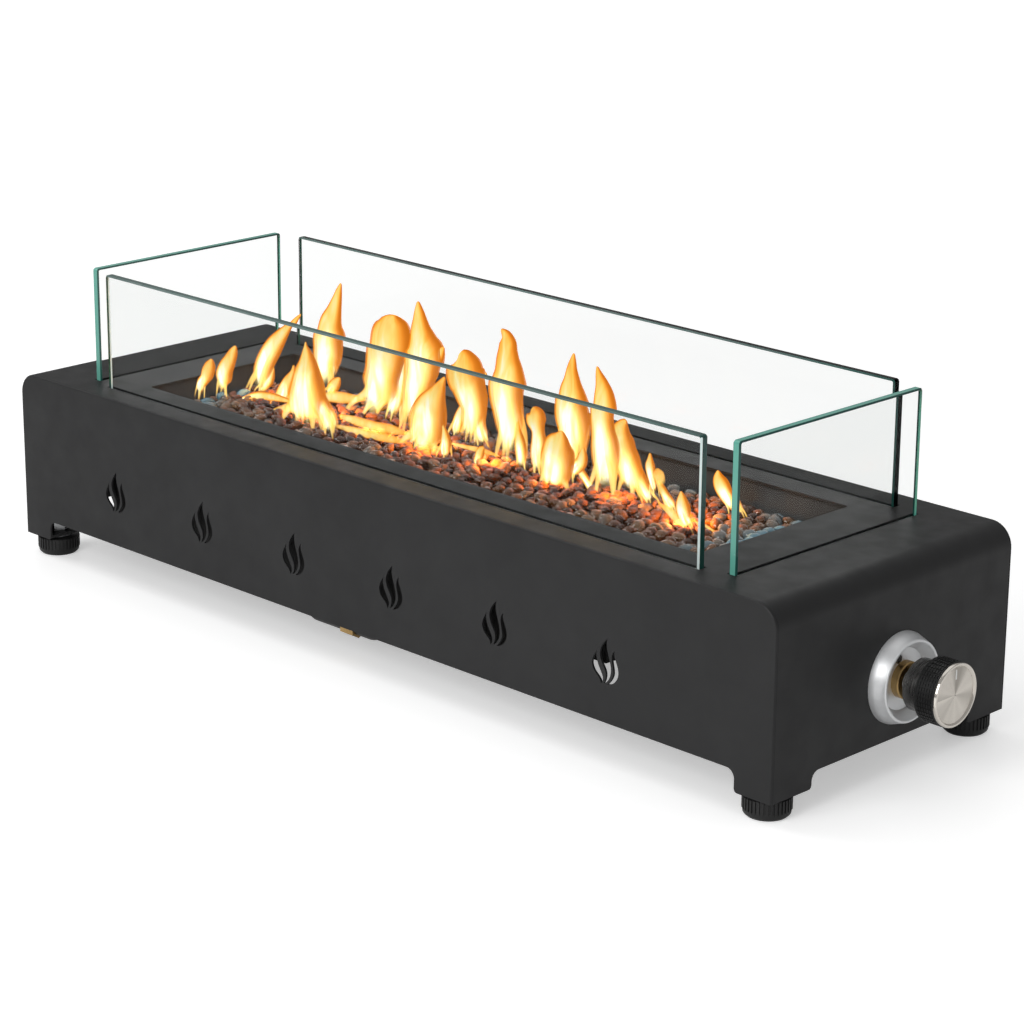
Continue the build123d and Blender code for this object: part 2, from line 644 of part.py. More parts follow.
def feed_pipe():
    """Straight tube from the valve's outlet to the jet."""
    start = INJECTOR_END - SOCKET_DEPTH
    end = VALVE_BACK - BOSS_LENGTH + SOCKET_DEPTH
    return along_x(PIPE_RADIUS, start, end) - along_x(PIPE_RADIUS - TUBE_WALL, start - 1, end + 1)


def valve_body():
    """Cast valve with a rear outlet, a bottom inlet and the rotor's bore."""
    half_width = VALVE_WIDTH / 2
    body = block(
        (VALVE_BACK, VALVE_FRONT),
        (VALVE_Y - half_width, VALVE_Y + half_width),
        (VALVE_BOTTOM, VALVE_Z + VALVE_HEIGHT / 2),
    )
    body = fillet(body.edges().filter_by(Axis.X), VALVE_EDGE)
    body += along_x(BOSS_RADIUS, VALVE_BACK - BOSS_LENGTH, VALVE_BACK)
    body += upright(BOSS_RADIUS, VALVE_BOTTOM - BOSS_LENGTH, VALVE_BOTTOM, VALVE_INLET_X, VALVE_Y)
    bore = PIPE_RADIUS + SOCKET_CLEARANCE
    body -= along_x(bore, VALVE_BACK - BOSS_LENGTH - 1, VALVE_BACK - BOSS_LENGTH + SOCKET_DEPTH)
    inlet_low = VALVE_BOTTOM - BOSS_LENGTH
    body -= upright(bore, inlet_low - 1, inlet_low + SOCKET_DEPTH, VALVE_INLET_X, VALVE_Y)
    rotor_end = VALVE_FRONT - ROTOR_LENGTH - 2
    return body - along_x(ROTOR_RADIUS + RUNNING_CLEARANCE, rotor_end, VALVE_FRONT + 1)


def valve_rotor():
    """Brass plug that the stem turns; the stem slides in its bore when pushed."""
    front = VALVE_FRONT - 1
    back = front - ROTOR_LENGTH
    rotor = along_x(ROTOR_RADIUS, back, front)
    bore_end = HALF_LENGTH - STEM_SUNK - PUSH_STROKE - 1
    return rotor - along_x(STEM_RADIUS + RUNNING_CLEARANCE, bore_end, front + 1)


def valve_stem():
    """Stem from the rotor to the knob."""
    stem = along_x(STEM_RADIUS, HALF_LENGTH - STEM_SUNK, HALF_LENGTH + KNOB_START + SKIRT_LENGTH)
    return chamfer(stem.edges().filter_by(GeomType.CIRCLE), EDGE_CHAMFER)


def valve_bracket():
    """Plate between the end sheet and the valve."""
    half_width = VALVE_PLATE_WIDTH / 2
    half_height = VALVE_PLATE_HEIGHT / 2
    plate = block(
        (VALVE_FRONT, VALVE_FRONT + VALVE_PLATE),
        (VALVE_Y - half_width, VALVE_Y + half_width),
        (VALVE_Z - half_height, VALVE_Z + half_height),
    )
    plate -= along_x(COLLAR_RADIUS + 1, VALVE_FRONT - 1, HALF_LENGTH)
    return drill_bezel_screws(plate, VALVE_FRONT - 1, HALF_LENGTH)


def valve_collar():
    """Brass boss of the valve with its round nut in the bezel's dish."""
    start = VALVE_FRONT - HALF_LENGTH
    bore = STEM_RADIUS + 0.3
    chamfered = COLLAR_NUT_RADIUS - EDGE_CHAMFER
    return turned(
        [
            (start, bore),
            (start, COLLAR_RADIUS),
            (DISH_FLOOR, COLLAR_RADIUS),
            (DISH_FLOOR, COLLAR_NUT_RADIUS),
            (COLLAR_REACH - EDGE_CHAMFER, COLLAR_NUT_RADIUS),
            (COLLAR_REACH, chamfered),
            (COLLAR_REACH, bore),
        ]
    )


def bezel():
    """Conical ring with a rounded lip and a sunk dish."""
    hole = COLLAR_RADIUS + 0.3
    lip_centre = (BEZEL_DEPTH - BEZEL_LIP_ROUND, BEZEL_LIP_RADIUS)
    lip_outer = (lip_centre[0], BEZEL_LIP_RADIUS + BEZEL_LIP_ROUND)
    lip_inner = (lip_centre[0], BEZEL_LIP_RADIUS - BEZEL_LIP_ROUND)
    outline = Polyline((DISH_FLOOR, hole), (0, hole), (0, BEZEL_RADIUS), (BEZEL_RIM, BEZEL_RADIUS), lip_outer)
    outline += ThreePointArc(lip_outer, (BEZEL_DEPTH, BEZEL_LIP_RADIUS), lip_inner)
    outline += Polyline(lip_inner, (DISH_FLOOR, DISH_RADIUS), (DISH_FLOOR, hole))
    ring = Pos(HALF_LENGTH, VALVE_Y, VALVE_Z) * revolve(make_face(outline), Axis.X, 360)
    return drill_bezel_screws(ring, HALF_LENGTH - 1, HALF_LENGTH + BEZEL_DEPTH)


def bezel_screws():
    """Two screws from the dish into the valve plate."""
    screws = []
    floor = HALF_LENGTH + DISH_FLOOR
    for y, z in bezel_screw_places():
        head = along_x(SCREW_HEAD_RADIUS, floor, floor + SCREW_HEAD_HEIGHT, y, z)
        head = chamfer(head.faces().sort_by(Axis.X)[-1].edges(), EDGE_CHAMFER)
        screws.append(head + along_x(SCREW_RADIUS, VALVE_FRONT, floor, y, z))
    return Compound(screws)


def knob_skirt():
    """Smooth dark collar behind the grip, with a spigot that carries the grip."""
    end = KNOB_START + SKIRT_LENGTH
    bore = STEM_RADIUS + SOCKET_CLEARANCE
    spigot = GRIP_BORE - SOCKET_CLEARANCE
    return turned(
        [
            (KNOB_START, bore),
            (KNOB_START, SKIRT_RADIUS - EDGE_CHAMFER),
            (KNOB_START + EDGE_CHAMFER, SKIRT_RADIUS),
            (end, SKIRT_RADIUS),
            (end, spigot),
            (end + GRIP_LENGTH, spigot),
            (end + GRIP_LENGTH, STEM_RADIUS),
            (end, STEM_RADIUS),
            (end, bore),
        ]
    )


def knob_grip():
    """Black grip ring."""
    start = KNOB_START + SKIRT_LENGTH
    end = start + GRIP_LENGTH
    small = GRIP_RADIUS - EDGE_CHAMFER
    return turned(
        [
            (start, GRIP_BORE),
            (start, small),
            (start + EDGE_CHAMFER, GRIP_RADIUS),
            (end - EDGE_CHAMFER, GRIP_RADIUS),
            (end, small),
            (end, GRIP_BORE),
        ]
    )


def knob_cap():
    """Metal front cap with a raised rim round a flat spun disc."""
    start = KNOB_START + SKIRT_LENGTH + GRIP_LENGTH
    end = start + CAP_LENGTH
    inner = CAP_RADIUS - CAP_RIM
    return turned(
        [
            (start, 0),
            (start, CAP_RADIUS),
            (end - EDGE_CHAMFER, CAP_RADIUS),
            (end, CAP_RADIUS - EDGE_CHAMFER),
            (end, inner + EDGE_CHAMFER),
            (end - CAP_RIM_HEIGHT, inner),
            (end - CAP_RIM_HEIGHT, 0),
        ]
    )


def piezo_igniter():
    """Spark generator on top of the valve."""
    low = VALVE_Z + VALVE_HEIGHT / 2
    half = PIEZO_SIDE / 2
    middle = (VALVE_BACK + VALVE_FRONT) / 2
    reach = (middle - PIEZO_LENGTH / 2, middle + PIEZO_LENGTH / 2)
    housing = block(reach, (VALVE_Y - half, VALVE_Y + half), (low, low + PIEZO_SIDE))
    return fillet(housing.edges().filter_by(Axis.X), VALVE_EDGE)


def igniter_ceramic():
    """Ceramic sleeve through the pan's floor, with a flange below it."""
    top = PAN_FLOOR + CERAMIC_LENGTH / 2
    flange_top = PAN_FLOOR - PAN_SHEET
    flange_low = flange_top - CERAMIC_FLANGE_HEIGHT
    sleeve = upright(CERAMIC_RADIUS, top - CERAMIC_LENGTH, top, SENSOR_X, -SENSOR_SPREAD)
    sleeve += upright(CERAMIC_FLANGE, flange_low, flange_top, SENSOR_X, -SENSOR_SPREAD)
    hole = SENSOR_PIN_RADIUS + SOCKET_CLEARANCE
    return sleeve - upright(hole, top - CERAMIC_LENGTH - 1, top + 1, SENSOR_X, -SENSOR_SPREAD)


def igniter_pin():
    """Spark pin in the ceramic sleeve."""
    top = PAN_FLOOR + CERAMIC_LENGTH / 2
    low = top - CERAMIC_LENGTH - SENSOR_PIN_RISE
    return upright(SENSOR_PIN_RADIUS, low, top + SENSOR_PIN_RISE, SENSOR_X, -SENSOR_SPREAD)


def thermocouple():
    """Flame sensor through the pan's floor, with its nut below."""
    low = VALVE_Z + PIPE_RADIUS + PROBE_PIPE_GAP
    nut_top = PAN_FLOOR - PAN_SHEET
    probe = upright(PROBE_RADIUS, low, PAN_FLOOR + PROBE_RISE, SENSOR_X, SENSOR_SPREAD)
    probe = fillet(probe.faces().sort_by(Axis.Z)[-1].edges(), PROBE_RADIUS / 2)
    nut_low = nut_top - PROBE_NUT_HEIGHT
    return probe + upright(PROBE_NUT_RADIUS, nut_low, nut_top, SENSOR_X, SENSOR_SPREAD)


def bent_pipe(points):
    """Round tube along straight runs joined by tangent arcs; points it runs straight past are left out."""
    corners = [Vector(*point) for point in points]
    kept = corners[:1]
    for here, after in zip(corners[1:], corners[2:]):
        if (here - kept[-1]).get_angle(after - here) > LEAST_BEND:
            kept.append(here)
    path = FilletPolyline(*kept, corners[-1], radius=PIPE_BEND)
    return sweep(Plane(origin=path @ 0, z_dir=path % 0) * Circle(PIPE_RADIUS), path=path)


def supply_pipe():
    """Dark tube from the low inlet forward and up, then along behind the front edge to the union."""
    start = UNION_X - UNION_LENGTH + SOCKET_DEPTH / 2
    return bent_pipe(
        [
            (start, SUPPLY_Y, SUPPLY_Z),
            (INLET_X, SUPPLY_Y, SUPPLY_Z),
            (INLET_X, CLIMB_FRONT_Y, SUPPLY_Z),
            (INLET_X, CLIMB_BACK_Y, INLET_Z),
            (INLET_X, INLET_START + SOCKET_DEPTH, INLET_Z),
        ]
    )


def pipe_union():
    """Brass hexagon that joins the two tubes."""
    start = UNION_X - UNION_LENGTH
    union = hex_along_x(UNION_FLATS, start, UNION_X, SUPPLY_Y, SUPPLY_Z)
    return union - along_x(PIPE_RADIUS + SOCKET_CLEARANCE, start - 1, UNION_X + 1, SUPPLY_Y, SUPPLY_Z)


def valve_pipe():
    """Tube from the union, up and along the front, then across to the valve's inlet."""
    start = UNION_X - SOCKET_DEPTH / 2
    top = VALVE_BOTTOM - BOSS_LENGTH + SOCKET_DEPTH
    return bent_pipe(
        [
            (start, SUPPLY_Y, SUPPLY_Z),
            (0, SUPPLY_Y, SUPPLY_Z),
            (VALVE_RUN_START, SUPPLY_Y, VALVE_RUN_Z),
            (VALVE_INLET_X, SUPPLY_Y, VALVE_RUN_Z),
            (VALVE_INLET_X, VALVE_Y, VALVE_RUN_Z),
            (VALVE_INLET_X, VALVE_Y, top),
        ]
    )


def gas_inlet():
    """Brass hose inlet: neck through the bracket's lip, hexagon and outside thread, along +Y."""
    def along_y(radius, start, end):
        return Pos(INLET_X, (start + end) / 2, INLET_Z) * Rot(90, 0, 0) * Cylinder(radius, end - start)

    hex_end = INLET_HEX_START + INLET_HEX_LENGTH
    section = RegularPolygon(INLET_FLATS / 2, 6, major_radius=False)
    plane = Plane(origin=(INLET_X, INLET_HEX_START, INLET_Z), z_dir=(0, 1, 0))
    inlet = extrude(plane * section, INLET_HEX_LENGTH)
    inlet += along_y(INLET_THREAD_RADIUS, hex_end, hex_end + INLET_THREAD_LENGTH)
    inlet += along_y(PIPE_RADIUS + PIPE_COLLAR, INLET_START, INLET_HEX_START)
    inlet -= along_y(PIPE_RADIUS + SOCKET_CLEARANCE, INLET_START - 1, INLET_START + SOCKET_DEPTH)
    return inlet - along_y(PIPE_RADIUS - TUBE_WALL, INLET_START, hex_end + INLET_THREAD_LENGTH + 1)


def inlet_bracket():
    """Bent strap on the back panel that holds the inlet."""
    reach = (INLET_X - BRACKET_WIDTH / 2, INLET_X + BRACKET_WIDTH / 2)
    shelf = (BRACKET_SHELF_Z, BRACKET_SHELF_Z + BRACKET_SHEET)
    back = (HALF_INNER_WIDTH - BRACKET_SHEET, HALF_INNER_WIDTH)
    lip = (INLET_LIP_Y, INLET_LIP_Y + BRACKET_SHEET)
    strap = block(reach, back, (shelf[0], shelf[0] + BRACKET_BACK_HEIGHT))
    strap += block(reach, (lip[0], back[1]), shelf)
    strap += block(reach, lip, (BRACKET_LIP_BOTTOM, shelf[1]))
    bore = PIPE_RADIUS + PIPE_COLLAR + SOCKET_CLEARANCE
    hole = Pos(INLET_X, INLET_LIP_Y, INLET_Z) * Rot(90, 0, 0) * Cylinder(bore, 4 * BRACKET_SHEET)
    return strap - hole


def main():
    """Build every piece and write it."""
    os.makedirs("parts", exist_ok=True)
    pieces = {
        "top_wrap": top_wrap(),
        "front_panel": long_panel(-1),
        "back_panel": long_panel(1),
        "burner_pan": burner_pan(),
        "heat_shield": heat_shield(),
        "pan_fixings": pan_fixings(),
        "fire_glass_bed": fire_glass_bed(),
        "fire_glass": fire_glass(),
        "burner_tube": burner_tube(),
        "burner_saddles": burner_saddles(),
        "air_mixer": air_mixer(),
        "injector": injector(),
        "feed_pipe": feed_pipe(),
        "valve_body": valve_body(),
        "valve_rotor": valve_rotor(),
        "valve_stem": valve_stem(),
        "valve_bracket": valve_bracket(),
        "valve_collar": valve_collar(),
        "bezel": bezel(),
        "bezel_screws": bezel_screws(),
        "knob_skirt": knob_skirt(),
        "knob_grip": knob_grip(),
        "knob_cap": knob_cap(),
        "piezo_igniter": piezo_igniter(),
        "igniter_ceramic": igniter_ceramic(),
        "igniter_pin": igniter_pin(),
        "thermocouple": thermocouple(),
        "supply_pipe": supply_pipe(),
        "pipe_union": pipe_union(),
        "valve_pipe": valve_pipe(),
        "gas_inlet": gas_inlet(),
        "inlet_bracket": inlet_bracket(),
        "foot_nuts": foot_nuts(),
        "foot_washers": foot_washers(),
    }
    for name, place in pane_slots().items():
        pieces[f"glass_{name}"] = glass_pane(*place)
        pieces[f"channel_{name}"] = pane_channel(*place)
    cap = foot_cap()
    stud = foot_stud()
    for name, (sx, sy) in CORNERS.items():
        x, y = FOOT_PLACES[name]
        pieces[f"foot_{name}"] = Pos(x, y, 0) * cap
        pieces[f"stud_{name}"] = Pos(x, y, 0) * stud
        pieces[f"gusset_{name}"] = gusset(sx, sy)
    for name, shape in pieces.items():
        save(name, shape)


main()
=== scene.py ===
import math

import bmesh
import bpy
from mathutils import Matrix, Vector


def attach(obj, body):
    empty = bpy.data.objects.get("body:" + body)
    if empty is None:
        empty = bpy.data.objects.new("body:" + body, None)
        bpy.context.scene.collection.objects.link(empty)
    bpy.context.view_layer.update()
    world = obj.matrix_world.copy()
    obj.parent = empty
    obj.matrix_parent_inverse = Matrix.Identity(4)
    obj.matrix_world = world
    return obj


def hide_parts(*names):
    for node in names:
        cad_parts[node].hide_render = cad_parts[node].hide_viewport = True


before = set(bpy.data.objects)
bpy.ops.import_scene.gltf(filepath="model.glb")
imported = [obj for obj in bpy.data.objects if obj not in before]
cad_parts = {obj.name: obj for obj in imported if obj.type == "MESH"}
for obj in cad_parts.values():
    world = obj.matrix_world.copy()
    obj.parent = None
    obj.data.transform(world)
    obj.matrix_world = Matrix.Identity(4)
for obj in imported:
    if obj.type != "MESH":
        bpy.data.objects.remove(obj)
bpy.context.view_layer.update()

# Places on the fire pit, in metres
BODY_X = -0.02125
TOP_Z = 0.133
HALF_LENGTH = 0.350
HALF_WIDTH = 0.110
END_X = BODY_X + HALF_LENGTH
KNOB_Y = 0.003
KNOB_Z = 0.0626
FOOT_INSET = 0.016
SIDES = ("front", "back", "left", "right")
CORNERS = {
    "front_left": (-1, -1),
    "front_right": (1, -1),
    "back_left": (-1, 1),
    "back_right": (1, 1),
}
ROUND_STEPS = 96


# Node building

def new_finish(name):
    """An empty surface finish: its material, its tree and its main shader."""
    material = bpy.data.materials.new(name)
    material.use_nodes = True
    tree = material.node_tree
    return material, tree, tree.nodes["Principled BSDF"]


def feed(tree, node, inputs):
    """Gives a node's inputs their plain values, or links where a socket is given."""
    for key, value in inputs.items():
        if isinstance(value, bpy.types.NodeSocket):
            tree.links.new(value, node.inputs[key])
        else:
            node.inputs[key].default_value = value


def add(tree, kind, inputs=None, **settings):
    """A node with its settings and its inputs."""
    made = tree.nodes.new(kind)
    for key, value in settings.items():
        setattr(made, key, value)
    feed(tree, made, inputs or {})
    return made


def math_node(tree, operation, first, second=0.0):
    """A calculation on two values or sockets."""
    return add(tree, "ShaderNodeMath", {0: first, 1: second}, operation=operation).outputs["Value"]


def attribute(tree, name):
    """A value that the mesh keeps at its points."""
    return add(tree, "ShaderNodeAttribute", attribute_name=name).outputs["Fac"]


def speckle(tree, scale, detail=2.0, stretch=(1.0, 1.0, 1.0), distortion=0.0):
    """Cloudy pattern on the piece's own coordinates, from 0 to 1."""
    place = add(tree, "ShaderNodeTexCoord").outputs["Object"]
    mapping = add(tree, "ShaderNodeMapping", {"Vector": place, "Scale": stretch})
    cloud = add(tree, "ShaderNodeTexNoise", {
        "Vector": mapping.outputs["Vector"], "Scale": scale, "Detail": detail, "Distortion": distortion})
    return cloud.outputs["Fac"]


def spread(tree, value, low, high, start=0.3, end=0.7):
    """A pattern's values stretched to run from low to high."""
    reach = add(tree, "ShaderNodeMapRange", {
        "Value": value, "From Min": start, "From Max": end, "To Min": low, "To Max": high})
    return reach.outputs["Result"]


def between(tree, value, first, second):
    """A colour between two, chosen by a pattern."""
    ends = {"Factor": value, "A": (*first, 1.0), "B": (*second, 1.0)}
    return add(tree, "ShaderNodeMix", ends, data_type="RGBA").outputs["Result"]


def bumps(tree, height, strength, distance):
    """Fine relief from a pattern."""
    relief = add(tree, "ShaderNodeBump", {"Height": height, "Strength": strength, "Distance": distance})
    return relief.outputs["Normal"]


def mixed(tree, share, first, second):
    """Two shaders mixed: only the first at a share of 0, only the second at 1."""
    return add(tree, "ShaderNodeMixShader", {"Fac": share, 1: first.outputs[0], 2: second.outputs[0]})


def coat_finish(name, dark, light, rough, grain, relief, specular=0.5):
    """Painted, moulded or cast surface: cloudy colour, uneven gloss and fine grain."""
    material, tree, shader = new_finish(name)
    cloud = spread(tree, speckle(tree, 9.0, 4.0), 0.0, 1.0)
    feed(tree, shader, {
        "Base Color": between(tree, cloud, dark, light),
        "Roughness": spread(tree, speckle(tree, 60.0, 5.0), *rough),
        "Normal": bumps(tree, speckle(tree, grain, 2.0), relief, 0.0002),
        "Specular IOR Level": specular,
    })
    return material


def metal_finish(name, dark, light, rough, stretch=(1.0, 1.0, 1.0), grain=900.0, relief=0.05, metallic=1.0):
    """Bare metal with drawn or turned marks along the squeezed direction."""
    material, tree, shader = new_finish(name)
    marks = speckle(tree, grain, 3.0, stretch)
    cloud = spread(tree, speckle(tree, 35.0, 4.0), 0.0, 1.0)
    feed(tree, shader, {
        "Base Color": between(tree, cloud, dark, light),
        "Roughness": spread(tree, marks, *rough),
        "Normal": bumps(tree, marks, relief, 0.0001),
        "Metallic": metallic,
    })
    return material


def pane_finish():
    """Coated clear glass: a thin mirror over plain refraction; light passes it without a dark shadow."""
    material, tree, shader = new_finish("pane_glass")
    tree.nodes.remove(shader)
    dust = spread(tree, speckle(tree, 30.0, 4.0), 0.0, 0.010)
    through = add(tree, "ShaderNodeBsdfRefraction", {
        "Color": (0.955, 0.959, 0.956, 1.0), "IOR": 1.45, "Roughness": dust})
    mirror = add(tree, "ShaderNodeBsdfAnisotropic", {"Color": (1.0, 1.0, 1.0, 1.0), "Roughness": dust})
    glance = add(tree, "ShaderNodeFresnel", {"IOR": 1.13}).outputs["Fac"]
    glass = mixed(tree, glance, through, mirror)
    clear = add(tree, "ShaderNodeBsdfTransparent", {"Color": (0.93, 0.97, 0.96, 1.0)})
    rays = add(tree, "ShaderNodeLightPath").outputs
    lighting = math_node(tree, "MAXIMUM", rays["Is Shadow Ray"], rays["Is Diffuse Ray"])
    pane = mixed(tree, lighting, glass, clear)
    feed(tree, tree.nodes["Material Output"], {"Surface": pane.outputs["Shader"]})
    return material


# Where the beads turn from amber to clear, from the middle of the pit outwards: this shift by place is
# painted firelight on the middle beads
RIM_ACROSS = (0.034, 0.052)
RIM_ALONG = (0.200, 0.236)
OWN_TINT = 0.72
RIM_TINT = 0.36


def bead_finish():
    """Fire glass: each bead's own random tint, with painted firelight by place: dark amber in the fire, clear
    and bluish towards the rim of the pit.
    """
    material, tree, shader = new_finish("bead_glass")
    place = add(tree, "ShaderNodeTexCoord").outputs["Object"]
    apart = add(tree, "ShaderNodeSeparateXYZ", {"Vector": place}).outputs
    across = spread(tree, math_node(tree, "ABSOLUTE", apart["Y"]), 0.0, 0.45, *RIM_ACROSS)
    along = math_node(tree, "ABSOLUTE", math_node(tree, "SUBTRACT", apart["X"], BODY_X))
    # Share of the rim: less painted firelight, so paler and bluer beads further from the middle
    rim = math_node(tree, "MAXIMUM", across, spread(tree, along, 0.0, 1.0, *RIM_ALONG))
    tint = math_node(tree, "MULTIPLY", attribute(tree, "bead_tint"), OWN_TINT)
    tint = math_node(tree, "ADD", tint, math_node(tree, "MULTIPLY", rim, RIM_TINT))
    stops = [
        (0.0, (0.050, 0.014, 0.003)),
        (0.30, (0.14, 0.042, 0.008)),
        (0.52, (0.27, 0.085, 0.016)),
        (0.70, (0.28, 0.15, 0.07)),
        (0.84, (0.22, 0.26, 0.28)),
        (1.0, (0.20, 0.40, 0.52)),
    ]
    feed(tree, shader, {
        "Base Color": colour_steps(tree, tint, stops),
        "Roughness": spread(tree, speckle(tree, 400.0, 3.0), 0.02, 0.08),
        "Normal": bumps(tree, speckle(tree, 200.0, 2.0), 0.12, 0.0008),
        "Transmission Weight": 0.50,
        "Coat Weight": 0.12,
        "Coat Roughness": 0.04,
        "IOR": 1.5,
    })
    return material


def colour_steps(tree, value, stops):
    """A colour read off a run of stops, each (place, colour)."""
    ramp = add(tree, "ShaderNodeValToRGB", {"Fac": value})
    while len(ramp.color_ramp.elements) < len(stops):
        ramp.color_ramp.elements.new(0.5)
    for element, (place, colour) in zip(ramp.color_ramp.elements, stops):
        element.position = place
        element.color = (*colour, 1.0)
    return ramp.outputs["Color"]


def flame_finish(name, stops, thickness, strength):
    """See-through glow, brighter where thin: its colour follows the mesh's heat, its root splits."""
    material, tree, shader = new_finish(name)
    tree.nodes.remove(shader)
    streaks = speckle(tree, 150.0, 2.0, (1.0, 1.0, 0.16), 0.6)
    folds = speckle(tree, 75.0, 2.0, (1.0, 1.0, 0.28), 1.4)
    heat = math_node(tree, "MULTIPLY", attribute(tree, "flame_heat"), spread(tree, streaks, 0.84, 1.12))
    heat = math_node(tree, "MULTIPLY", heat, spread(tree, folds, 0.62, 1.22))
    whole = math_node(tree, "MULTIPLY", attribute(tree, "flame_whole"), 0.50)
    parted = spread(tree, math_node(tree, "ADD", folds, whole), 0.05, 1.0, 0.50, 0.78)
    share = math_node(tree, "MULTIPLY", attribute(tree, "flame_body"), parted)
    share = math_node(tree, "MULTIPLY", share, thickness)
    thin = math_node(tree, "POWER", math_node(tree, "MAXIMUM", share, 0.15), 0.6)
    glow = add(tree, "ShaderNodeEmission", {
        "Color": colour_steps(tree, heat, stops), "Strength": math_node(tree, "DIVIDE", strength, thin)})
    flame = mixed(tree, share, add(tree, "ShaderNodeBsdfTransparent"), glow)
    feed(tree, tree.nodes["Material Output"], {"Surface": flame.outputs["Shader"]})
    return material


POWDER_COAT = coat_finish(
    "black_powder_coat", (0.010, 0.010, 0.0105), (0.015, 0.015, 0.0155), (0.46, 0.56), 1500.0, 0.10, 0.32)
PAN_BLACK = coat_finish(
    "heat_proof_black", (0.010, 0.010, 0.010), (0.020, 0.019, 0.018), (0.50, 0.68), 1100.0, 0.005, 0.30)
FOOT_BLACK = coat_finish(
    "moulded_foot_black", (0.008, 0.008, 0.008), (0.014, 0.014, 0.014), (0.38, 0.55), 1800.0, 0.08, 0.35)
GRIP_BLACK = coat_finish(
    "moulded_grip_black", (0.006, 0.006, 0.006), (0.012, 0.012, 0.012), (0.36, 0.50), 2200.0, 0.06, 0.35)
PIPE_BLACK = coat_finish(
    "painted_pipe_black", (0.012, 0.012, 0.012), (0.022, 0.021, 0.020), (0.35, 0.55), 1200.0, 0.06, 0.4)
CERAMIC_WHITE = coat_finish(
    "igniter_white", (0.70, 0.68, 0.62), (0.82, 0.80, 0.75), (0.22, 0.40), 900.0, 0.05, 0.5)
POINTER_WHITE = coat_finish(
    "pointer_white", (0.80, 0.80, 0.78), (0.90, 0.90, 0.88), (0.35, 0.50), 1500.0, 0.04, 0.4)
GUNMETAL = metal_finish(
    "skirt_gunmetal", (0.20, 0.195, 0.19), (0.28, 0.275, 0.27), (0.22, 0.34), (1.0, 0.1, 0.1))
BRASS = metal_finish(
    "turned_brass", (0.42, 0.27, 0.11), (0.58, 0.40, 0.18), (0.22, 0.42), (1.0, 0.1, 0.1))
SATIN = metal_finish(
    "bezel_satin", (0.74, 0.75, 0.76), (0.82, 0.83, 0.84), (0.34, 0.44), (1.0, 1.0, 1.0), 1600.0, 0.04, 0.55)
ZINC = metal_finish(
    "zinc_plate", (0.42, 0.43, 0.44), (0.58, 0.58, 0.57), (0.30, 0.48), (1.0, 1.0, 1.0), 700.0, 0.05)
STAINLESS = metal_finish(
    "drawn_stainless", (0.40, 0.37, 0.33), (0.58, 0.56, 0.53), (0.22, 0.40), (0.05, 1.0, 1.0), 900.0, 0.06)
CAST = metal_finish(
    "valve_casting", (0.36, 0.36, 0.36), (0.48, 0.48, 0.48), (0.42, 0.62), (1.0, 1.0, 1.0), 500.0, 0.25)
POLISHED = metal_finish(
    "cap_rim_polish", (0.66, 0.61, 0.55), (0.72, 0.68, 0.62), (0.08, 0.16), (1.0, 1.0, 1.0), 900.0, 0.02)
PANE_CLEAR = pane_finish()
# Pane edges: the teal is the glass's own tint; the deep copy is painted shade, the pale copy painted light,
# and the pale arris a painted highlight
PANE_EDGE_SHADED = coat_finish(
    "pane_edge_painted_shade", (0.008, 0.045, 0.038), (0.018, 0.085, 0.070), (0.12, 0.30), 600.0, 0.05, 0.4)
PANE_EDGE_LIT = coat_finish(
    "pane_edge_painted_light", (0.070, 0.30, 0.235), (0.150, 0.42, 0.345), (0.12, 0.30), 600.0, 0.05, 0.5)
PANE_ARRIS_HIGHLIGHT = coat_finish(
    "pane_arris_painted_highlight", (0.62, 0.74, 0.72), (0.80, 0.88, 0.86), (0.15, 0.30), 600.0, 0.05, 0.5)
BEAD_GLASS = bead_finish()


def spun_finish():
    """Cap disc turned on a lathe: its marks run round the middle and stretch the shine. Its colour holds a
    painted reflection: a dark wedge at the top and lighter lobes round the disc.
    """
    material, tree, shader = new_finish("cap_spun_disc")
    rings = add(tree, "ShaderNodeUVMap", uv_map="round_and_out").outputs["UV"]
    mapping = add(tree, "ShaderNodeMapping", {"Vector": rings, "Scale": (2.0, 160.0, 1.0)})
    marks = add(tree, "ShaderNodeTexNoise", {
        "Vector": mapping.outputs["Vector"], "Scale": 1.0, "Detail": 3.0}).outputs["Fac"]
    turn = add(tree, "ShaderNodeSeparateXYZ", {"Vector": rings}).outputs["X"]
    # Painted reflection of a sunburst, held in the base colour: dark either side of the top, lighter fan
    # lobes elsewhere
    from_top = math_node(tree, "ABSOLUTE", math_node(tree, "SUBTRACT", turn, 0.225))
    painted_dark_wedge = spread(tree, from_top, 0.30, 1.0, 0.025, 0.085)
    painted_fan_lobes = add(tree, "ShaderNodeTexNoise", {"W": turn, "Scale": 7.0, "Detail": 1.0}, noise_dimensions="1D")
    painted_reflection = math_node(tree, "MULTIPLY", painted_dark_wedge, spread(tree, painted_fan_lobes.outputs["Fac"], 0.55, 1.0))
    painted_reflection = math_node(tree, "MULTIPLY", painted_reflection, spread(tree, marks, 0.90, 1.0))
    tangent = add(tree, "ShaderNodeTangent", direction_type="UV_MAP", uv_map="round_and_out")
    feed(tree, shader, {
        "Base Color": between(tree, painted_reflection, (0.20, 0.18, 0.155), (0.84, 0.79, 0.72)),
        "Roughness": spread(tree, marks, 0.26, 0.36),
        "Normal": bumps(tree, marks, 0.05, 0.0001),
        "Tangent": tangent.outputs["Tangent"],
        "Metallic": 1.0,
        "Anisotropic": 0.85,
    })
    return material


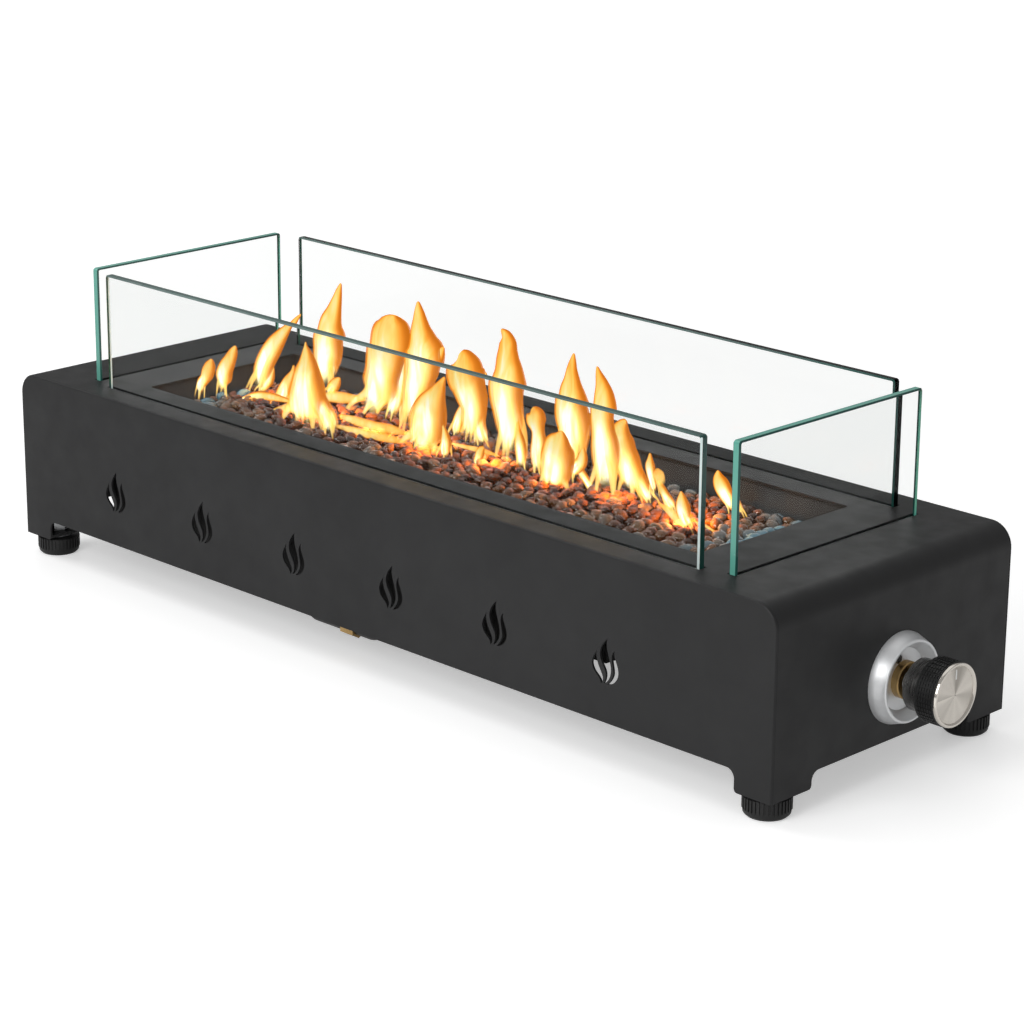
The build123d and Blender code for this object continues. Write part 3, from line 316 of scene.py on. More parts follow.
SPUN = spun_finish()
FLAME_STOPS = [
    (0.0, (0.58, 0.150, 0.009)), (0.15, (0.88, 0.300, 0.026)), (0.35, (1.0, 0.53, 0.09)),
    (0.58, (1.0, 0.75, 0.22)), (0.82, (1.0, 0.90, 0.45)), (1.0, (1.0, 0.98, 0.80))]
FLAME_SHEET = flame_finish("flame_sheet", FLAME_STOPS, 1.0, 1.0)
FLAME_HEART = flame_finish("flame_heart", FLAME_STOPS, 0.92, 1.6)


# Mesh making

def piece(name, mesh, body, slot, *nodes):
    """A finished piece: linked, carried by its body, standing for its nodes; its slot is not used."""
    made = bpy.data.objects.new(name, mesh)
    bpy.context.scene.collection.objects.link(made)
    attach(made, body)
    if nodes:
        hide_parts(*nodes)
    return made


def mesh_of(name, build, *finishes, smooth=30.0):
    """A closed mesh from a builder that fills a bmesh."""
    bm = bmesh.new()
    build(bm)
    bmesh.ops.remove_doubles(bm, verts=bm.verts, dist=1e-7)
    bmesh.ops.recalc_face_normals(bm, faces=bm.faces)
    mesh = bpy.data.meshes.new(name)
    bm.to_mesh(mesh)
    bm.free()
    for finish in finishes:
        mesh.materials.append(finish)
    mesh.shade_smooth()
    mesh.set_sharp_from_angle(angle=math.radians(smooth))
    return mesh


def turned_rings(bm, points, steps=ROUND_STEPS, start=0.0, share=1.0):
    """Rings of points round the knob axis, from (x, radius) pairs, joined into a skin."""
    rings = []
    count = steps if share >= 1.0 else steps + 1
    for x, radius in points:
        if radius < 1e-9:
            rings.append([bm.verts.new((x, KNOB_Y, KNOB_Z))])
            continue
        ring = []
        for index in range(count):
            angle = start + share * 2 * math.pi * index / steps
            y, z = KNOB_Y + radius * math.cos(angle), KNOB_Z + radius * math.sin(angle)
            ring.append(bm.verts.new((x, y, z)))
        rings.append(ring)
    for low, high in zip(rings, rings[1:]):
        for index in range(steps):
            follow = (index + 1) % count
            if len(low) == 1:
                bm.faces.new((low[0], high[index], high[follow]))
            elif len(high) == 1:
                bm.faces.new((low[index], high[0], low[follow]))
            else:
                bm.faces.new((low[index], high[index], high[follow], low[follow]))
    return rings


def copied(node, name, finish, body, slot, smooth=35.0):
    """A CAD node's own shape with smooth bends and a new finish."""
    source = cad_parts[node].data
    bm = bmesh.new()
    verts = [bm.verts.new(v.co) for v in source.vertices]
    for polygon in source.polygons:
        bm.faces.new([verts[index] for index in polygon.vertices])
    bmesh.ops.remove_doubles(bm, verts=bm.verts, dist=1e-6)
    bmesh.ops.dissolve_degenerate(bm, edges=bm.edges, dist=1e-7)
    mesh = bpy.data.meshes.new(name)
    bm.to_mesh(mesh)
    bm.free()
    mesh.materials.append(finish)
    mesh.shade_smooth()
    mesh.set_sharp_from_angle(angle=math.radians(smooth))
    return piece(name, mesh, body, slot, node)


def plain_mesh(holder, name):
    """The holder's evaluated result as a plain mesh; the holder is removed."""
    bpy.context.view_layer.update()
    evaluated = holder.evaluated_get(bpy.context.evaluated_depsgraph_get())
    mesh = bpy.data.meshes.new_from_object(evaluated)
    mesh.name = name
    bpy.data.objects.remove(holder)
    return mesh


def grown(name, mesh, tree, **inputs):
    """A mesh after a geometry tree has worked on it."""
    holder = bpy.data.objects.new(name, mesh)
    bpy.context.scene.collection.objects.link(holder)
    modifier = holder.modifiers.new("grow", "NODES")
    modifier.node_group = tree
    sockets = {item.name: item.identifier for item in tree.interface.items_tree if item.item_type == "SOCKET"}
    for key, value in inputs.items():
        modifier[sockets[key.replace("_", " ")]] = value
    return plain_mesh(holder, name)


def geometry_tree(name, inputs):
    """An empty geometry tree with named inputs: the tree, what it is given, and its result."""
    tree = bpy.data.node_groups.new(name, "GeometryNodeTree")
    tree.interface.new_socket("Geometry", in_out="INPUT", socket_type="NodeSocketGeometry")
    for key, kind in inputs.items():
        tree.interface.new_socket(key, in_out="INPUT", socket_type="NodeSocket" + kind)
    tree.interface.new_socket("Geometry", in_out="OUTPUT", socket_type="NodeSocketGeometry")
    return tree, add(tree, "NodeGroupInput").outputs, add(tree, "NodeGroupOutput")


def made_real(tree, instances, material):
    """Instances as a real mesh with its finish."""
    real = add(tree, "GeometryNodeRealizeInstances", {"Geometry": instances})
    finish = add(tree, "GeometryNodeSetMaterial", {
        "Geometry": real.outputs["Geometry"], "Material": material})
    return finish.outputs["Geometry"]


def studded_ring_tree():
    """Adds rows of small studs round a cylinder whose axis is X, through (0, Middle Y, Middle Z)."""
    tree, given, result = geometry_tree("studded_ring", {
        "Rows": "Int", "Around": "Int", "Radius": "Float", "Start": "Float", "Length": "Float",
        "Middle Y": "Float", "Middle Z": "Float", "Stud": "Vector", "Finish": "Material"})
    grid = add(tree, "GeometryNodeMeshGrid", {
        "Size X": 1.0, "Size Y": 1.0, "Vertices X": given["Rows"], "Vertices Y": given["Around"]})
    number = add(tree, "GeometryNodeInputIndex").outputs["Index"]
    row = math_node(tree, "FLOOR", math_node(tree, "DIVIDE", number, given["Around"]))
    step = math_node(tree, "MODULO", number, given["Around"])
    gaps = math_node(tree, "MAXIMUM", math_node(tree, "SUBTRACT", given["Rows"], 1.0), 1.0)
    reach = math_node(tree, "MULTIPLY", math_node(tree, "DIVIDE", row, gaps), given["Length"])
    angle = math_node(tree, "DIVIDE", math_node(tree, "MULTIPLY", step, 2 * math.pi), given["Around"])
    cosine = math_node(tree, "COSINE", angle)
    sine = math_node(tree, "SINE", angle)
    out_y, out_z = (math_node(tree, "MULTIPLY", part, given["Radius"]) for part in (cosine, sine))
    place = add(tree, "ShaderNodeCombineXYZ", {
        "X": math_node(tree, "ADD", given["Start"], reach),
        "Y": math_node(tree, "ADD", given["Middle Y"], out_y),
        "Z": math_node(tree, "ADD", given["Middle Z"], out_z),
    })
    spot = add(tree, "GeometryNodeSetPosition", {
        "Geometry": grid.outputs["Mesh"], "Position": place.outputs["Vector"]})
    outward = add(tree, "ShaderNodeCombineXYZ", {"Y": cosine, "Z": sine})
    turn = add(tree, "FunctionNodeAlignRotationToVector", {"Vector": outward.outputs["Vector"]},
               axis="Z", pivot_axis="X")
    stud = add(tree, "GeometryNodeMeshCube", {"Size": given["Stud"]})
    put = add(tree, "GeometryNodeInstanceOnPoints", {
        "Points": spot.outputs["Geometry"], "Instance": stud.outputs["Mesh"],
        "Rotation": turn.outputs["Rotation"]})
    join = add(tree, "GeometryNodeJoinGeometry")
    for part in (made_real(tree, put.outputs["Instances"], given["Finish"]), given["Geometry"]):
        tree.links.new(part, join.inputs["Geometry"])
    feed(tree, result, {"Geometry": join.outputs["Geometry"]})
    return tree


DENT_DEPTH = 0.7
BEAD_WIDTH_SHARE = 0.85
BEAD_HEIGHT_SHARE = 0.68


def bead_tree():
    """Scatters rounded beads over a surface, each turned, sized and tinted by itself."""
    tree, given, result = geometry_tree("scattered_beads", {
        "Spacing": "Float", "Density": "Float", "Smallest": "Float", "Largest": "Float",
        "Seed": "Int", "Finish": "Material"})
    scatter = add(tree, "GeometryNodeDistributePointsOnFaces", {
        "Mesh": given["Geometry"], "Distance Min": given["Spacing"], "Density Max": given["Density"],
        "Seed": given["Seed"]}, distribute_method="POISSON")
    ball = add(tree, "GeometryNodeMeshIcoSphere", {"Radius": 1.0, "Subdivisions": 2})
    dents = add(tree, "ShaderNodeTexNoise", {"Scale": 1.1, "Detail": 0.0})
    depth = math_node(tree, "SUBTRACT", dents.outputs["Fac"], 0.5)
    push = add(tree, "ShaderNodeVectorMath", {
        0: add(tree, "GeometryNodeInputNormal").outputs["Normal"],
        "Scale": math_node(tree, "MULTIPLY", depth, DENT_DEPTH)}, operation="SCALE")
    dented = add(tree, "GeometryNodeSetPosition", {
        "Geometry": ball.outputs["Mesh"], "Offset": push.outputs["Vector"]})
    smooth = add(tree, "GeometryNodeSetShadeSmooth", {"Geometry": dented.outputs["Geometry"]})
    turn = add(tree, "FunctionNodeRandomValue", {
        0: (-0.5, -0.5, 0.0), 1: (0.5, 0.5, 6.283), "Seed": given["Seed"]}, data_type="FLOAT_VECTOR")
    size = add(tree, "FunctionNodeRandomValue", {
        2: given["Smallest"], 3: given["Largest"], "Seed": given["Seed"]}, data_type="FLOAT")
    flat = add(tree, "ShaderNodeCombineXYZ", {
        "X": size.outputs[1],
        "Y": math_node(tree, "MULTIPLY", size.outputs[1], BEAD_WIDTH_SHARE),
        "Z": math_node(tree, "MULTIPLY", size.outputs[1], BEAD_HEIGHT_SHARE),
    })
    put = add(tree, "GeometryNodeInstanceOnPoints", {
        "Points": scatter.outputs["Points"], "Instance": smooth.outputs["Geometry"],
        "Rotation": turn.outputs[0], "Scale": flat.outputs["Vector"]})
    tint = add(tree, "FunctionNodeRandomValue", {"Seed": given["Seed"]}, data_type="FLOAT")
    keep = add(tree, "GeometryNodeStoreNamedAttribute", {
        "Geometry": put.outputs["Instances"], "Name": "bead_tint", "Value": tint.outputs[1],
    }, data_type="FLOAT", domain="INSTANCE")
    feed(tree, result, {"Geometry": made_real(tree, keep.outputs["Geometry"], given["Finish"])})
    return tree


STUDDED_RING = studded_ring_tree()
SCATTERED_BEADS = bead_tree()


# Sheet body, gas train and other CAD shapes that keep their form

def dress_cad_shapes():
    """Bent sheets, tubes and castings: the CAD form with its finish."""
    body_nodes = {
        "top_wrap": (POWDER_COAT, "black_steel"), "front_panel": (POWDER_COAT, "black_steel"),
        "back_panel": (POWDER_COAT, "black_steel"), "burner_pan": (PAN_BLACK, "pan_steel"),
        "heat_shield": (PAN_BLACK, "pan_steel"), "foot_washers": (ZINC, "zinc_steel"),
        "pan_fixings": (ZINC, "zinc_steel"), "fire_glass_bed": (BEAD_GLASS, "bead_glass"),
        "burner_tube": (STAINLESS, "stainless"), "burner_saddles": (STAINLESS, "stainless"),
        "air_mixer": (ZINC, "zinc_steel"), "injector": (BRASS, "brass"),
        "feed_pipe": (STAINLESS, "stainless"), "valve_body": (CAST, "cast_aluminium"),
        "valve_bracket": (ZINC, "zinc_steel"), "valve_collar": (BRASS, "brass"),
        "bezel_screws": (GUNMETAL, "dark_steel"), "piezo_igniter": (GRIP_BLACK, "black_plastic"),
        "igniter_ceramic": (CERAMIC_WHITE, "ceramic"), "igniter_pin": (STAINLESS, "stainless"),
        "thermocouple": (STAINLESS, "stainless"), "supply_pipe": (PIPE_BLACK, "black_pipe"),
        "pipe_union": (BRASS, "brass"), "valve_pipe": (PIPE_BLACK, "black_pipe"),
        "gas_inlet": (BRASS, "brass"), "inlet_bracket": (POWDER_COAT, "black_steel"),
        "foot_nuts": (ZINC, "zinc_steel"),
    }
    for side in SIDES:
        body_nodes["channel_" + side] = (ZINC, "zinc_steel")
    for corner in CORNERS:
        body_nodes["gusset_" + corner] = (POWDER_COAT, "black_steel")
    for node, (finish, slot) in body_nodes.items():
        copied(node, node + "_shape", finish, "fire_pit", slot)
    copied("bezel", "bezel_shape", SATIN, "fire_pit", "satin_aluminium", smooth=20.0)
    copied("valve_rotor", "valve_rotor_shape", BRASS, "valve_plug", "brass")
    copied("valve_stem", "valve_stem_shape", GUNMETAL, "knob", "dark_steel")
    copied("knob_skirt", "knob_skirt_shape", GUNMETAL, "knob", "dark_steel")
    for corner in CORNERS:
        copied("stud_" + corner, "stud_" + corner + "_shape", ZINC, "carrier_" + corner, "zinc_steel")


# How squarely a pane's face or arris looks along the pane's thickness
FACE_SQUARE = 0.95
ARRIS_TILT = 0.3
# Slots: clear face, painted shade edge, painted light edge, painted highlight arris
CLEAR, EDGE_SHADED, EDGE_LIT, HIGHLIGHT_ARRIS = range(4)


def dress_panes():
    """Glass panes: clear faces and green ground edges carrying painted light: painted shade on the front
    pane's edges and on most arrises, painted light on the end panes' edges, and a painted highlight down the
    front pane's ends.

    The back pane's edges are clear, so only its arrises show."""
    for side in SIDES:
        made = copied(
            "glass_" + side, "pane_" + side + "_glass", PANE_CLEAR, "pane_" + side, "pane_glass", 20.0)
        mesh = made.data
        for finish in (PANE_EDGE_SHADED, PANE_EDGE_LIT, PANE_ARRIS_HIGHLIGHT):
            mesh.materials.append(finish)
        flat = 1 if side in ("front", "back") else 0
        for polygon in mesh.polygons:
            facing = abs(polygon.normal[flat])
            if facing > FACE_SQUARE:
                polygon.material_index = CLEAR
            elif facing > ARRIS_TILT:
                # The front pane's upright arrises get the painted highlight and other arrises painted shade;
                # edges get painted shade on the front pane and painted light on the end panes
                bright = side == "front" and polygon.normal[2] < ARRIS_TILT
                polygon.material_index = HIGHLIGHT_ARRIS if bright else EDGE_SHADED
            elif side != "back":
                polygon.material_index = EDGE_SHADED if side == "front" else EDGE_LIT


# Knob

GRIP_START = END_X + 0.0265
GRIP_END = END_X + 0.0405
GRIP_RADIUS = 0.0200
GRIP_BORE = 0.0130
STUD_MARGIN = 0.0024
CAP_END = END_X + 0.0425
CAP_RADIUS = 0.0196
POINTER_SIZE = (0.0004, 0.0012, 0.0062)
CLIP_X = END_X + 0.0092
CLIP_RADIUS = 0.0066
CLIP_HALF_WIDTH = 0.0006
CLIP_HALF_DEPTH = 0.0013
CLIP_START = math.radians(-60)
CLIP_SHARE = 0.84


def knob_grip():
    """Black grip with rows of small square studs between two smooth bands."""
    core = GRIP_RADIUS - 0.0006
    band = 0.0010
    edge = 0.0005
    outline = [
        (GRIP_START, GRIP_BORE), (GRIP_START, GRIP_RADIUS - edge), (GRIP_START + edge, GRIP_RADIUS),
        (GRIP_START + band, GRIP_RADIUS), (GRIP_START + band + edge, core),
        (GRIP_END - band - edge, core), (GRIP_END - band, GRIP_RADIUS),
        (GRIP_END - edge, GRIP_RADIUS), (GRIP_END, GRIP_RADIUS - edge),
        (GRIP_END, GRIP_BORE), (GRIP_START, GRIP_BORE),
    ]
    base = mesh_of("grip_core", lambda bm: turned_rings(bm, outline), GRIP_BLACK)
    mesh = grown(
        "knob_grip_studs", base, STUDDED_RING, Rows=6, Around=40, Radius=core,
        Start=GRIP_START + STUD_MARGIN, Length=GRIP_END - GRIP_START - 2 * STUD_MARGIN,
        Middle_Y=KNOB_Y, Middle_Z=KNOB_Z,
        Stud=(0.0013, 0.0021, 0.0011), Finish=GRIP_BLACK)
    piece("knob_grip_ring", mesh, "knob", "black_plastic", "knob_grip")


def knob_cap():
    """Polished rim round a spun disc, with a white pointer line."""
    start = GRIP_END
    rim_inner = CAP_RADIUS - 0.0024
    floor = CAP_END - 0.0010
    rim = [
        (start, GRIP_BORE), (start, CAP_RADIUS), (CAP_END - 0.0006, CAP_RADIUS),
        (CAP_END - 0.0002, CAP_RADIUS - 0.0002), (CAP_END, CAP_RADIUS - 0.0007),
        (CAP_END, rim_inner + 0.0009), (CAP_END - 0.0003, rim_inner + 0.0004),
        (floor, rim_inner), (floor, rim_inner - 0.0002), (start, GRIP_BORE),
    ]
    piece("knob_cap_rim", mesh_of("knob_cap_rim", lambda bm: turned_rings(bm, rim), POLISHED), "knob",
          "spun_metal", "knob_cap")
    disc_radius = rim_inner - 0.0001
    disc = [(floor - 0.0008, disc_radius)]
    for share in (1.0, 0.85, 0.7, 0.55, 0.4, 0.25, 0.1, 0.02):
        disc.append((floor + 0.00002, disc_radius * share))
    mesh = mesh_of("knob_cap_disc", lambda bm: turned_rings(bm, disc), SPUN)
    layer = mesh.uv_layers.new(name="round_and_out")
    for polygon in mesh.polygons:
        middle = math.atan2(polygon.center.z - KNOB_Z, polygon.center.y - KNOB_Y)
        for loop in polygon.loop_indices:
            co = mesh.vertices[mesh.loops[loop].vertex_index].co
            angle = math.atan2(co.z - KNOB_Z, co.y - KNOB_Y)
            angle += 2 * math.pi * round((middle - angle) / (2 * math.pi))
            out = math.hypot(co.y - KNOB_Y, co.z - KNOB_Z) / CAP_RADIUS
            layer.data[loop].uv = (angle / (2 * math.pi), out)
    piece("knob_cap_face", mesh, "knob", "spun_metal")

    def bar(bm):
        bmesh.ops.create_cube(bm, size=1.0)
        bmesh.ops.scale(bm, vec=POINTER_SIZE, verts=bm.verts)
        bmesh.ops.translate(bm, vec=(floor + 0.0001, KNOB_Y, KNOB_Z + rim_inner - 0.0044), verts=bm.verts)
        bmesh.ops.bevel(bm, geom=bm.edges[:], offset=0.00012, segments=2, affect="EDGES")

    piece("knob_pointer", mesh_of("knob_pointer", bar, POINTER_WHITE), "knob", "spun_metal")


def collar_clip():
    """Open spring ring on the stem, in front of the brass collar."""
    sides = 12
    points = []
    for index in range(sides + 1):
        angle = 2 * math.pi * index / sides
        x, radius = CLIP_HALF_WIDTH * math.cos(angle), CLIP_HALF_DEPTH * math.sin(angle)
        points.append((CLIP_X + x, CLIP_RADIUS + radius))

    def ring(bm):
        rings = turned_rings(bm, points, ROUND_STEPS // 2, CLIP_START, CLIP_SHARE)
        for column in (0, -1):
            bm.faces.new([row[column] for row in rings[:-1]])

    piece("collar_clip", mesh_of("collar_clip", ring, GUNMETAL), "fire_pit", "dark_steel")


# Feet

FOOT_RADIUS = 0.015
FOOT_HEIGHT = 0.0125
FOOT_BAND = 0.0042
FOOT_RIBS = 36
STUD_HOLE_RADIUS = 0.00405
STUD_HOLE_DEPTH = 0.0070


def feet():
    """Ribbed levelling feet: a chamfered band below, ribs above."""
    for corner, (sx, sy) in CORNERS.items():
        x = BODY_X + sx * (HALF_LENGTH - FOOT_INSET)
        y = sy * (HALF_WIDTH - FOOT_INSET)
        core = FOOT_RADIUS - 0.0008
        outline = [
            (0.0, 0.0), (0.0, core - 0.0018), (0.0014, core - 0.0003), (0.0020, core),
            (FOOT_HEIGHT - 0.0010, core), (FOOT_HEIGHT - 0.0004, core - 0.0002),
            (FOOT_HEIGHT, core - 0.0009), (FOOT_HEIGHT, STUD_HOLE_RADIUS),
            (FOOT_HEIGHT - STUD_HOLE_DEPTH, STUD_HOLE_RADIUS), (FOOT_HEIGHT - STUD_HOLE_DEPTH, 0.0),
        ]

        def lying(bm):
            turned_rings(bm, outline, 72)
            bmesh.ops.translate(bm, vec=(0.0, -KNOB_Y, -KNOB_Z), verts=bm.verts)

        base = mesh_of("foot_core", lying, FOOT_BLACK)
        mesh = grown(
            "foot_ribs", base, STUDDED_RING, Rows=1, Around=FOOT_RIBS, Radius=core - 0.0001,
            Start=0.5 * (FOOT_BAND + FOOT_HEIGHT - 0.0004), Length=0.0, Middle_Y=0.0, Middle_Z=0.0,
            Stud=(FOOT_HEIGHT - 0.0046, 0.0013, 0.0015), Finish=FOOT_BLACK)
        mesh.transform(Matrix.Translation((x, y, 0.0)) @ Matrix.Rotation(math.radians(-90), 4, "Y"))
        piece("foot_" + corner + "_ribbed", mesh, "leveller_" + corner, "foot_plastic", "foot_" + corner)


# Fire glass and flames

BEAD_HALF_LENGTH = 0.2395
BEAD_HALF_WIDTH = 0.0525
BED_TOP = 0.1095
BEAD_DENSITY = 60000.0


def heap(name, low, rise, half_length, half_width):
    """Gently uneven surface that the beads are scattered on."""
    columns, rows = 96, 22

    def sheet(bm):
        grid = []
        for i in range(columns + 1):
            u = 2 * i / columns - 1
            line = []
            for j in range(rows + 1):
                v = 2 * j / rows - 1
                wave = 0.5 + 0.25 * math.sin(5.1 * u + 1.3 * v) + 0.25 * math.sin(13.7 * u + 4.0 * v + 0.8)
                crown = (1 - 0.45 * v * v) * (1 - 0.5 * max(0.0, abs(u) - 0.8) / 0.2)
                place = (BODY_X + u * half_length, v * half_width, low + rise * wave * crown)
                line.append(bm.verts.new(place))
            grid.append(line)
        for i in range(columns):
            for j in range(rows):
                bm.faces.new((grid[i][j], grid[i + 1][j], grid[i + 1][j + 1], grid[i][j + 1]))

    return mesh_of(name, sheet, BEAD_GLASS)


def fire_glass():
    """Two layers of loose beads on the fill: height, unevenness, spacing, smallest, largest, seed."""
    layers = [
        ("under_layer", BED_TOP + 0.0030, 0.0020, 0.0088, 0.0050, 0.0068, 4),
        ("upper_layer", BED_TOP + 0.0080, 0.0055, 0.0070, 0.0038, 0.0058, 11),
    ]
    bm = bmesh.new()
    for name, low, rise, spacing, small, large, seed in layers:
        surface = heap(name, low, rise, BEAD_HALF_LENGTH, BEAD_HALF_WIDTH)
        mesh = grown(name, surface, SCATTERED_BEADS, Spacing=spacing, Density=BEAD_DENSITY, Smallest=small,
                     Largest=large, Seed=seed, Finish=BEAD_GLASS)
        bm.from_mesh(mesh)
    mesh = bpy.data.meshes.new("fire_glass_beads")
    bm.to_mesh(mesh)
    bm.free()
    mesh.materials.append(BEAD_GLASS)
    mesh.shade_smooth()
    piece("fire_glass_beads", mesh, "fire_pit", "bead_glass", "fire_glass")


# Each tongue of flame, set on the photograph: its place y in millimetres, then its stations
# from root to tip as (column, row, half width along the row), in pixels
TONGUES = [
    (-34, ((202, 396, 2.2), (204, 384, 4), (208, 378, 5), (211, 372, 6), (214, 364, 4.5), (215, 358, 1))),
    (-18, ((225, 396, 2.2), (226, 384, 4), (227, 376, 7), (229, 368, 7), (233, 360, 6), (237, 351, 4),
          (239, 345, 1))),
    (4, ((256, 393, 5), (262, 382, 6), (265, 370, 8), (270, 358, 9), (277, 346, 9), (284, 336, 7),
          (291, 327, 4), (296, 320, 2.5), (301, 314, 0.8))),
    (10, ((262, 392, 3), (268, 384, 5), (273, 377, 5), (276, 370, 2), (277, 367, 0.6))),
    (0, ((280, 404, 4), (284, 396, 6), (288, 388, 6), (292, 380, 5), (296, 372, 2.5), (297, 364, 0.8))),
    (-28, ((306, 428, 8), (309, 416, 14), (310, 402, 16), (311, 388, 15), (311, 374, 12), (311, 362, 8),
          (310, 352, 4.5), (309, 345, 1.5), (309, 341, 0.6))),
    (-26, ((332, 434, 6), (333, 424, 8), (329, 412, 9), (322, 400, 9), (318, 386, 7), (318, 374, 3),
          (318, 368, 0.8))),
    (40, ((328, 392, 3), (328, 384, 4), (330, 372, 8), (330, 360, 11.5), (331, 348, 12.5), (331, 336, 12.5),
          (331, 324, 10), (334, 312, 7), (337, 300, 4.5), (339, 291, 2.8), (341, 283, 0.8))),
    (34, ((331, 396, 2), (334, 389, 5), (338, 384, 6), (341, 380, 4), (343, 377, 1))),
    (24, ((362, 414, 4), (372, 408, 9), (380, 396, 14), (384, 384, 17), (386, 372, 16), (388, 360, 17),
          (390, 348, 18), (392, 336, 18), (393, 326, 15), (393, 319, 10), (393, 315, 3))),
    (28, ((392, 420, 4), (395, 408, 6), (400, 394, 8), (404, 380, 8), (407, 366, 8), (409, 354, 6),
          (411, 344, 3), (412, 336, 0.8))),
    (18, ((414, 440, 5), (414, 424, 8), (416, 408, 10), (418, 392, 12), (422, 376, 14), (425, 362, 16),
          (425, 350, 17), (423, 340, 13), (421, 330, 9.5), (420, 320, 6.5), (419, 310, 4), (418, 301, 1))),
    (18, ((425, 378, 3), (432, 366, 6), (437, 358, 6.5), (441, 352, 4.5), (444, 347, 1))),
    (-4, ((416, 446, 5), (423, 440, 13), (428, 428, 17), (432, 416, 17), (436, 404, 14), (440, 394, 9),
          (444, 385, 5), (448, 376, 1))),
    (-8, ((447, 458, 3), (448, 448, 4.5), (449, 440, 4.5), (448, 432, 3), (446, 424, 0.8))),
    (24, ((470, 444, 4), (472, 432, 6), (474, 420, 9), (476, 408, 11), (474, 396, 14), (471, 384, 17),
          (467, 374, 17), (466, 364, 14), (464, 357, 10), (461, 352, 4))),
    (26, ((489, 448, 3), (485, 436, 6), (482, 422, 6), (482, 408, 7), (483, 394, 7), (485, 382, 3),
          (486, 372, 0.8))),
    (-6, ((479, 466, 2), (481, 458, 3.5), (484, 450, 4), (487, 446, 1))),
    (32, ((458, 436, 3), (460, 426, 5), (463, 416, 5), (466, 406, 3), (467, 400, 0.8))),
    (9, ((510, 466, 6), (512, 452, 10), (514, 438, 11), (513, 424, 13), (511, 410, 14), (509, 396, 15),
          (509, 384, 15.5), (509, 372, 13), (508, 360, 10.5), (508, 350, 8.5), (508, 342, 7.5),
          (506, 335, 6), (501, 329, 1.5))),
    (8, ((523, 470, 3), (524, 456, 5), (523, 442, 5), (521, 430, 3), (521, 420, 0.8))),
    (8, ((541, 476, 5), (541, 464, 6), (541, 452, 7), (542, 442, 7), (541, 430, 6), (539, 420, 9),
          (539, 413, 8), (536, 406, 2))),
    (-4, ((556, 488, 5), (556, 478, 12), (559, 466, 15), (561, 454, 15), (562, 444, 13), (564, 436, 7),
          (565, 430, 1))),
    (10, ((570, 478, 5), (572, 466, 9), (575, 452, 11), (577, 438, 13), (577, 426, 15), (575, 414, 16),
          (573, 402, 14), (572, 390, 11), (572, 380, 7.5), (572, 370, 5), (573, 361, 3), (574, 353, 0.8))),
    (6, ((576, 474, 4), (578, 468, 6), (584, 462, 6), (586, 454, 4), (586, 447, 1))),
    (8, ((597, 492, 2), (592, 484, 4), (586, 474, 5), (581, 466, 3), (579, 460, 0.8))),
    (4, ((606, 500, 6), (608, 486, 8), (609, 472, 11), (609, 458, 13), (608, 444, 13), (606, 430, 11),
          (605, 418, 10.5), (605, 406, 10.5), (604, 394, 9), (602, 384, 6.5), (599, 374, 3.5),
          (597, 366, 0.8))),
    (14, ((634, 498, 4), (636, 486, 9), (634, 474, 12), (630, 462, 14), (626, 450, 13), (624, 440, 12),
          (624, 431, 9), (626, 424, 6), (629, 419, 1.5))),
    (16, ((655, 504, 4), (649, 494, 7), (643, 482, 9), (640, 472, 7), (638, 462, 4), (637, 454, 0.8))),
    (10, ((657, 494, 2), (656, 484, 3), (654, 474, 4), (653, 465, 4.5), (653, 458, 2.5), (653, 452, 0.8))),
    (8, ((665, 486, 3), (663, 478, 5), (661, 472, 5), (660, 467, 1))),
    (12, ((676, 512, 4), (672, 502, 6), (668, 494, 5), (664, 486, 4), (661, 479, 1))),
    (-6, ((693, 528, 3), (688, 518, 6), (686, 508, 7), (685, 499, 5), (684, 490, 0.8))),
    (-6, ((690, 526, 4), (680, 518, 8), (672, 510, 7), (664, 504, 3), (660, 500, 1))),
    (34, ((740, 516, 3), (734, 506, 7), (727, 496, 9), (722, 486, 9), (719, 478, 6), (718, 470, 0.8))),
    (0, ((716, 532, 2), (706, 527, 4), (700, 522, 3), (696, 518, 0.8))),
]

# Low ribbons among the beads, given in the same way
RIBBONS = [
    (-8, ((228, 404, 0.6), (244, 400, 2), (262, 395, 3), (280, 397, 2.5), (298, 402, 0.8))),
    (-20, ((272, 411, 0.6), (290, 407, 3), (306, 408, 5), (322, 412, 4), (340, 418, 0.8))),
    (-6, ((338, 414, 0.8), (356, 419, 3), (376, 425, 3.5), (396, 429, 3.5), (414, 434, 0.8))),
    (-16, ((336, 424, 0.8), (354, 429, 2.5), (374, 434, 3), (394, 438, 3), (412, 442, 0.8))),
    (22, ((318, 398, 0.8), (332, 396, 3.5), (346, 397, 4), (360, 398, 2.5), (370, 399, 0.8))),
    (2, ((424, 444, 0.6), (436, 446, 2), (448, 449, 0.6))),
    (6, ((452, 442, 0.6), (468, 446, 1.6), (486, 450, 2), (504, 456, 0.6))),
]
PHOTO_SIDE = 1024
MM = 0.001
LEAST_UPRIGHT = 0.45
FLAME_DEPTH = 0.55
LEAST_RISE = 12
FLAME_SIDES = 20
STEPS_PER_STATION = 4

# Each kind of shell: its share of a tongue's width, where it starts and ends along it, and its heat
SHEET_SHELL = (0.92, 0.0, 1.0, 1.0)
FRINGE_SHELL = (1.02, 0.0, 1.0, 0.2)
RIBBON_SHELL = (1.0, 0.0, 1.0, 0.62)
STRAND_SHELL = (1.0, 0.0, 1.0, 0.66)
HEART_SHELL = (0.74, 0.10, 0.66, 1.0)


